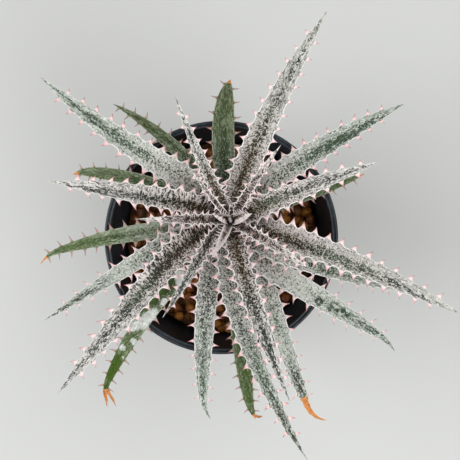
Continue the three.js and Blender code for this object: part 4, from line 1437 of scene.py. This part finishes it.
    def rows(self, leaf: Growth, line: dict, random: np.random.Generator) -> dict:
        """Returns the left margin, the middle and the right margin, by side, with the same rows."""
        centres, size = self.tooth_centres(leaf, line)
        sides = [self.margin(leaf, centres, size, side, random) for side in (1, -1)]
        middle = {key: (sides[0][key] + sides[1][key]) / 2 for key in sides[0]}
        low, high = self.base_rows, self.tip_rows
        done = {}
        for side, rim in zip((1, 0, -1), (sides[0], middle, sides[1])):
            before = np.linspace(0, rim["share"][0], low + 1)[:-1]
            after = np.linspace(rim["share"][-1], self.tip_share, high + 1)[1:]
            fade_in = smoothstep(np.linspace(0, 1, low), 0, 1) * rim["out"][0]
            fade_out = smoothstep(np.linspace(1, 0, high), 0, 1) * rim["out"][-1]
            done[side] = {
                "share": np.concatenate([before, rim["share"], after]),
                "out": np.concatenate([fade_in, rim["out"], fade_out]),
                "lean": np.concatenate([np.zeros(low), rim["lean"], np.zeros(high)]),
                "length": np.concatenate([np.ones(low), rim["length"], np.ones(high)]),
            }
        return done

    def columns(self) -> list:
        """Returns the mesh's columns over the upper face, from the left margin to the right, as
        side, share of the blade inside the edge and share of the edge."""
        half = [(share, 0.0) for share in self.blade_columns] + [(1.0, share) for share in self.edge_columns]
        return [(1, *column) for column in reversed(half)] + [(-1, *column) for column in half[1:]]

    def leaf(self, leaf: Growth, random: np.random.Generator) -> bpy.types.Object:
        """Returns one leaf with its blade, its scalloped margins and its hooked teeth."""
        line = self.centreline(leaf)
        rims = self.rows(leaf, line, random)
        columns = self.columns()
        faces = [(True, *column) for column in columns] + [(False, *column) for column in columns[-2:0:-1]]
        done = [self.column(leaf, line, rims, *face) for face in faces]
        tip = self.section(leaf, line, np.array([1.0]))
        tip_place = self.placed(tip, np.array([0.0]), np.array([-self.tip_under]))
        dry = 1.0 if leaf.dry else 0.0
        tip_values = np.array([[[leaf.length, 0, 0], [1, 0, 0], [0, dry, 0], [leaf.frost, 0, 0], [0, 0, 0]]])
        corners = np.vstack([np.stack([places for places, _ in done], axis=1).reshape(-1, 3), tip_place])
        values = np.vstack([np.stack([values for _, values in done], axis=1).reshape(-1, 5, 3), tip_values])
        faces = self.faces(len(rims[0]["share"]), len(done), len(columns))
        piece = new_object(leaf.node + "_blade", corners, faces)
        self.give_skin(piece, values)
        return piece

    @staticmethod
    def give_skin(piece: bpy.types.Object, values: np.ndarray) -> None:
        """Stores what the leaf's skin reads at each corner."""
        for k, name in enumerate(("leaf_place", "leaf_growth", "leaf_marks", "leaf_state", "leaf_tint")):
            give_values(piece, name, values[:, k])

    def column(
        self, leaf: Growth, line: dict, rims: dict, upper: bool, side: int, inner: float, outer: float
    ) -> tuple[np.ndarray, np.ndarray]:
        """Returns the places down one column of a leaf's mesh, and what its skin reads there.

        Args:
            leaf: The leaf.
            line: Its centreline.
            rims: Its left margin, middle and right margin, by side.
            upper: Whether the column lies on the upper face.
            side: 1 for the left, -1 for the right.
            inner: Share of the blade's half width inside the edge.
            outer: Share of the edge.

        Returns:
            The places, and five vectors for each of them.
        """
        rim = rims[side]
        across = (1 - self.edge_weight) * inner + self.edge_weight * outer
        share = lerp(rims[0]["share"], rim["share"], across)
        half = self.section(leaf, line, share, side)["half"]
        edge = np.minimum(self.edge_width, self.edge_most * half)
        shallow = np.minimum(1, half / (self.hollow_width * leaf.width))
        out = rim["out"] * np.where(rim["out"] < 0, shallow, 1)
        sideways = inner * (half - edge) + outer * (edge + out)
        tooth = np.clip((sideways - half) / rim["length"], 0, 1)
        share = share + rim["lean"] * rim["length"] * tooth**self.hook / leaf.length
        section = self.section(leaf, line, share)
        width = np.maximum(half, NONE)
        part = np.minimum(sideways / width, 1)
        face = section["channel"] * section["free"] * part**2 + self.tooth_lift * tooth
        at_edge = np.clip((half - edge) / width, 0, 1)
        round_under, round_edge = self.section_powers
        thick = section["thickness"] * (1 - np.minimum(part, at_edge) ** round_under)
        thick = thick * (1 - outer) ** round_edge
        places = self.placed(section, side * sideways, face - (0 if upper else thick))
        band = np.clip(np.abs(side * sideways - leaf.lopsided) / width, 0, 1)
        rim_share = self.rim_share(leaf, inner, outer)
        return places, self.values(leaf, share, side * sideways, band, rim_share, tooth, upper)

    def rim_share(self, leaf: Growth, inner: float, outer: float) -> float:
        """Returns how near the margin a column lies, from 0 to 1.

        The horny edge is as wide on each leaf, but for a narrow leaf's and for one in the heart.
        """
        narrow = min(1.0, self.edge_share * leaf.width / self.edge_width)
        if leaf.length < self.teeth.bud_leaf:
            narrow = self.bud_edge / leaf.rim
        if outer:
            return 1 - (1 - outer) * narrow
        return max(0.0, 1 - narrow - (1 - inner) * leaf.width / 2 / self.edge_width)

    @staticmethod
    def faces(count: int, ring: int, upper: int) -> list:
        """Returns the faces of a leaf of count rows of ring corners, closed at both ends.

        Args:
            count: Number of rows.
            ring: Number of corners in a row, all round.
            upper: Number of them on the upper face, from margin to margin.

        Returns:
            Tuples of corner numbers. The corner after the last row is the leaf's tip.
        """
        faces = []
        for i in range(count - 1):
            for j in range(ring):
                after = (j + 1) % ring
                a, b = i * ring, (i + 1) * ring
                faces.append((a + j, a + after, b + after, b + j))
        for j in range(1, upper - 2):
            faces.append((j, j + 1, ring - j - 1, (ring - j) % ring))
        faces += [(0, 1, ring - 1), (upper - 2, upper - 1, upper)]
        last = (count - 1) * ring
        faces += [(last + j, last + (j + 1) % ring, count * ring) for j in range(ring)]
        return faces

    def values(
        self, leaf: Growth, share: np.ndarray, sideways: np.ndarray, band: np.ndarray, rim: float,
        tooth: np.ndarray, upper: bool,
    ) -> np.ndarray:
        """Returns what the leaf's skin reads at each corner of a column.

        Args:
            leaf: The leaf.
            share: Share of its length.
            sideways: Offset to its left.
            band: Distance from the channel's middle, in half widths.
            rim: How near the margin the column lies.
            tooth: Share of a tooth's height.
            upper: Whether the column lies on the upper face.

        Returns:
            The place on the leaf, its growth, its marks, its state and its tints, a vector each.
        """
        size = len(share)
        seed = float(sum(map(ord, leaf.node)) % 97) + (0 if upper else 40)
        place = np.stack([share * leaf.length, sideways, np.full(size, seed)], axis=1)
        growth = np.stack([share, band, np.full(size, rim)], axis=1)
        rubbed = np.zeros(size)
        for patch in leaf.patches:
            reach = np.hypot((share - patch.share) * leaf.length, sideways - patch.off)
            depth = np.clip(1 - np.abs(reach - patch.ring) / patch.size, 0, 1)
            rubbed += -depth if patch.thick else depth
        small = leaf.length < self.teeth.bud_leaf
        pink = tooth * (self.teeth.bud_pink if small else 1)
        marks = np.stack([pink, self.dead(leaf, share), rubbed], axis=1)
        # Fewer scales near the base: the sheath is barer, and its darkening is also painted shade under the
        # leaves above.
        worn_and_shaded = lerp(self.worn_and_shaded, 1.0, smoothstep(share * leaf.length, *self.bare_and_shaded_base))
        frost = leaf.frost * (1.0 if small else worn_and_shaded)
        hatched = leaf.hatch
        for kept, value in ((self.hatch_left, sideways / leaf.width), (self.hatch_tip, share)):
            hatched = hatched * lerp(1.0, kept[0], smoothstep(value, *kept[1:]))
        state = np.stack([frost + np.zeros(size), np.full(size, not upper), hatched], axis=1)
        tints = np.zeros((size, 3))
        for oval in OVALS.get(leaf.node, ()):
            along = (share - oval.share) * leaf.length / oval.along
            away = along**2 + ((sideways - oval.off) / oval.across) ** 2
            tints[:, oval.tint.value] += oval.strength * np.exp(-away)
        return np.stack([place, growth, marks, state, np.minimum(tints, 1)], axis=1)

    def strands(self, leaf: Growth, random: np.random.Generator) -> list:
        """Returns a leaf's dry, curled strands and bristles."""
        line = self.centreline(leaf)
        return [self.strand(leaf, line, k, strand, random) for k, strand in enumerate(leaf.strands, 1)]

    def strand(
        self, leaf: Growth, line: dict, number: int, strand: Strand, random: np.random.Generator
    ) -> bpy.types.Object:
        """Returns one strand: a thin ribbon that twists, rolls in and frays to a point.

        Args:
            leaf: The leaf.
            line: Its centreline.
            number: The strand's number on the leaf, from 1.
            strand: The strand.
            random: The leaf's own random numbers.

        Returns:
            The strand.
        """
        share = np.linspace(0, 1, self.strand_rows)
        start = self.section(leaf, line, np.array([strand.share]))
        place = self.placed(start, np.array([strand.off]), np.array([-self.strand_under]))[0]
        heading = start["heading"][0] + np.radians(strand.turn + strand.bend * share)
        sway, often = self.strand_sway
        sway = sway * np.sin(often * share + random.uniform(0, 6))
        rise = start["rise"][0] + np.radians(sway - strand.drop)
        moves = self.moves(heading, rise)
        points = place + np.cumsum(moves, axis=0) * strand.length / len(share)
        wave, often = self.strand_waves
        wave = 1 + wave * np.sin(often * share + random.uniform(0, 6))
        taper, blunt = self.strand_taper
        half = strand.width / 2 * (1 - share**taper) * wave + blunt
        twist = np.radians(self.strand_twist) * share * random.choice([-1, 1])
        flat = np.cos(twist)
        side = np.stack([-np.sin(heading) * flat, np.cos(heading) * flat, np.sin(twist)], axis=1)
        up = np.cross(side, moves)
        up = up * np.sign(up[:, 2:3] + 1e-9)
        count, size = len(share), len(STRAND_SECTION)
        corners = np.stack([
            points + side * (half * across)[:, None] + up * (above * half[:, None] ** 0.5)
            for across, above in STRAND_SECTION
        ], axis=1).reshape(-1, 3)
        faces = [
            (i * size + j, i * size + (j + 1) % size, (i + 1) * size + (j + 1) % size, (i + 1) * size + j)
            for i in range(count - 1) for j in range(size)
        ]
        faces += [tuple(range(size)), tuple((count - 1) * size + j for j in range(size))]
        piece = new_object(f"{leaf.node}_strand_{number}", corners, faces)
        along = np.repeat(share * strand.length, size)
        across = np.tile([float(a) for a, _ in STRAND_SECTION], count)
        blank = np.zeros(len(corners))
        self.give_skin(piece, np.stack([
            np.stack([along, across, blank + number], axis=1),
            np.stack([blank + 1, abs(across), blank + 1 - strand.dry], axis=1),
            np.stack([blank, blank + strand.dry, blank], axis=1),
            np.stack([blank + leaf.frost, blank, blank + 1], axis=1),
            np.zeros((len(corners), 3)),
        ], axis=1))
        return piece


# ---- the studio ----


@dataclass(frozen=True)
class Lamp:
    """A square softbox that faces the plant, in degrees and millimetres from the pot's foot."""

    name: str
    azimuth: float
    elevation: float
    watts: float
    away: float = 1050.0
    size: float = 900.0
    aim: float = 90.0  # height that it faces

    def light(self) -> None:
        """Adds the lamp to the scene."""
        across, up = math.radians(self.azimuth), math.radians(self.elevation)
        data = bpy.data.lights.new(self.name, "AREA")
        data.size = self.size * METRES
        data.energy = self.watts
        lamp = bpy.data.objects.new(self.name, data)
        flat = self.away * math.cos(up)
        place = (flat * math.cos(across), flat * math.sin(across), self.away * math.sin(up) + self.aim)
        lamp.location = [v * METRES for v in place]
        lamp.rotation_euler = (math.pi / 2 - up, 0, across + math.pi / 2)
        bpy.context.scene.collection.objects.link(lamp)


@dataclass
class Studio:
    """A camera looking straight down, a plain pale floor and soft lamps all round."""

    camera_at: tuple = (3.7, 3.2, 486.0)
    lens: float = 73.3
    sensor: float = 36.0
    clip_start: float = 10.0
    floor_size: float = 6000.0
    world: str = "#e6e7e6"
    world_strength: float = 0.13
    lamps: tuple = (
        Lamp("softbox_left", 180, 35, 8.4),
        Lamp("softbox_front_right", 315, 35, 7.3),
        Lamp("softbox_back_right", 45, 60, 5.5),
        Lamp("softbox_front_left", 225, 60, 2.6),
    )
    finish: MattBoard = field(default_factory=MattBoard)

    def make(self) -> list:
        """Sets up the camera, the light and the floor, and returns no piece of the part."""
        self.camera()
        self.lights()
        self.floor()
        # Colours show as they are, with no film curve.
        bpy.context.scene.view_settings.view_transform = "Standard"
        return []

    def camera(self) -> None:
        """Sets the scene's camera."""
        data = bpy.data.cameras.new("overhead")
        data.lens = self.lens
        data.sensor_width = self.sensor
        data.clip_start = self.clip_start * METRES
        camera = bpy.data.objects.new("overhead", data)
        camera.location = [v * METRES for v in self.camera_at]
        bpy.context.scene.collection.objects.link(camera)
        bpy.context.scene.camera = camera

    def lights(self) -> None:
        """Adds the faint even light of the room, and the lamps."""
        world = bpy.data.worlds.new("room")
        world.use_nodes = True
        background = world.node_tree.nodes["Background"]
        background.inputs["Color"].default_value = linear(self.world)
        background.inputs["Strength"].default_value = self.world_strength
        bpy.context.scene.world = world
        for lamp in self.lamps:
            lamp.light()

    def floor(self) -> None:
        """Adds the floor."""
        half = self.floor_size / 2
        corners = np.array([(-half, -half, 0), (half, -half, 0), (half, half, 0), (-half, half, 0)])
        floor = new_object("studio_floor", corners, [(0, 1, 2, 3)])
        floor.data.materials.append(self.finish.dress())


def main() -> None:
    """Builds the studio, the pot, its fill and the plant."""
    logging.basicConfig(level=logging.INFO, format="%(name)s: %(message)s")
    pot, stem = NurseryPot(), Stem()
    for assembly in (Studio(), pot, ClayFill(pot), stem, Rosette(stem)):
        pieces = assembly.make()
        log.info("%s: %d pieces", type(assembly).__name__, len(pieces))


if __name__ == "__main__":
    main()
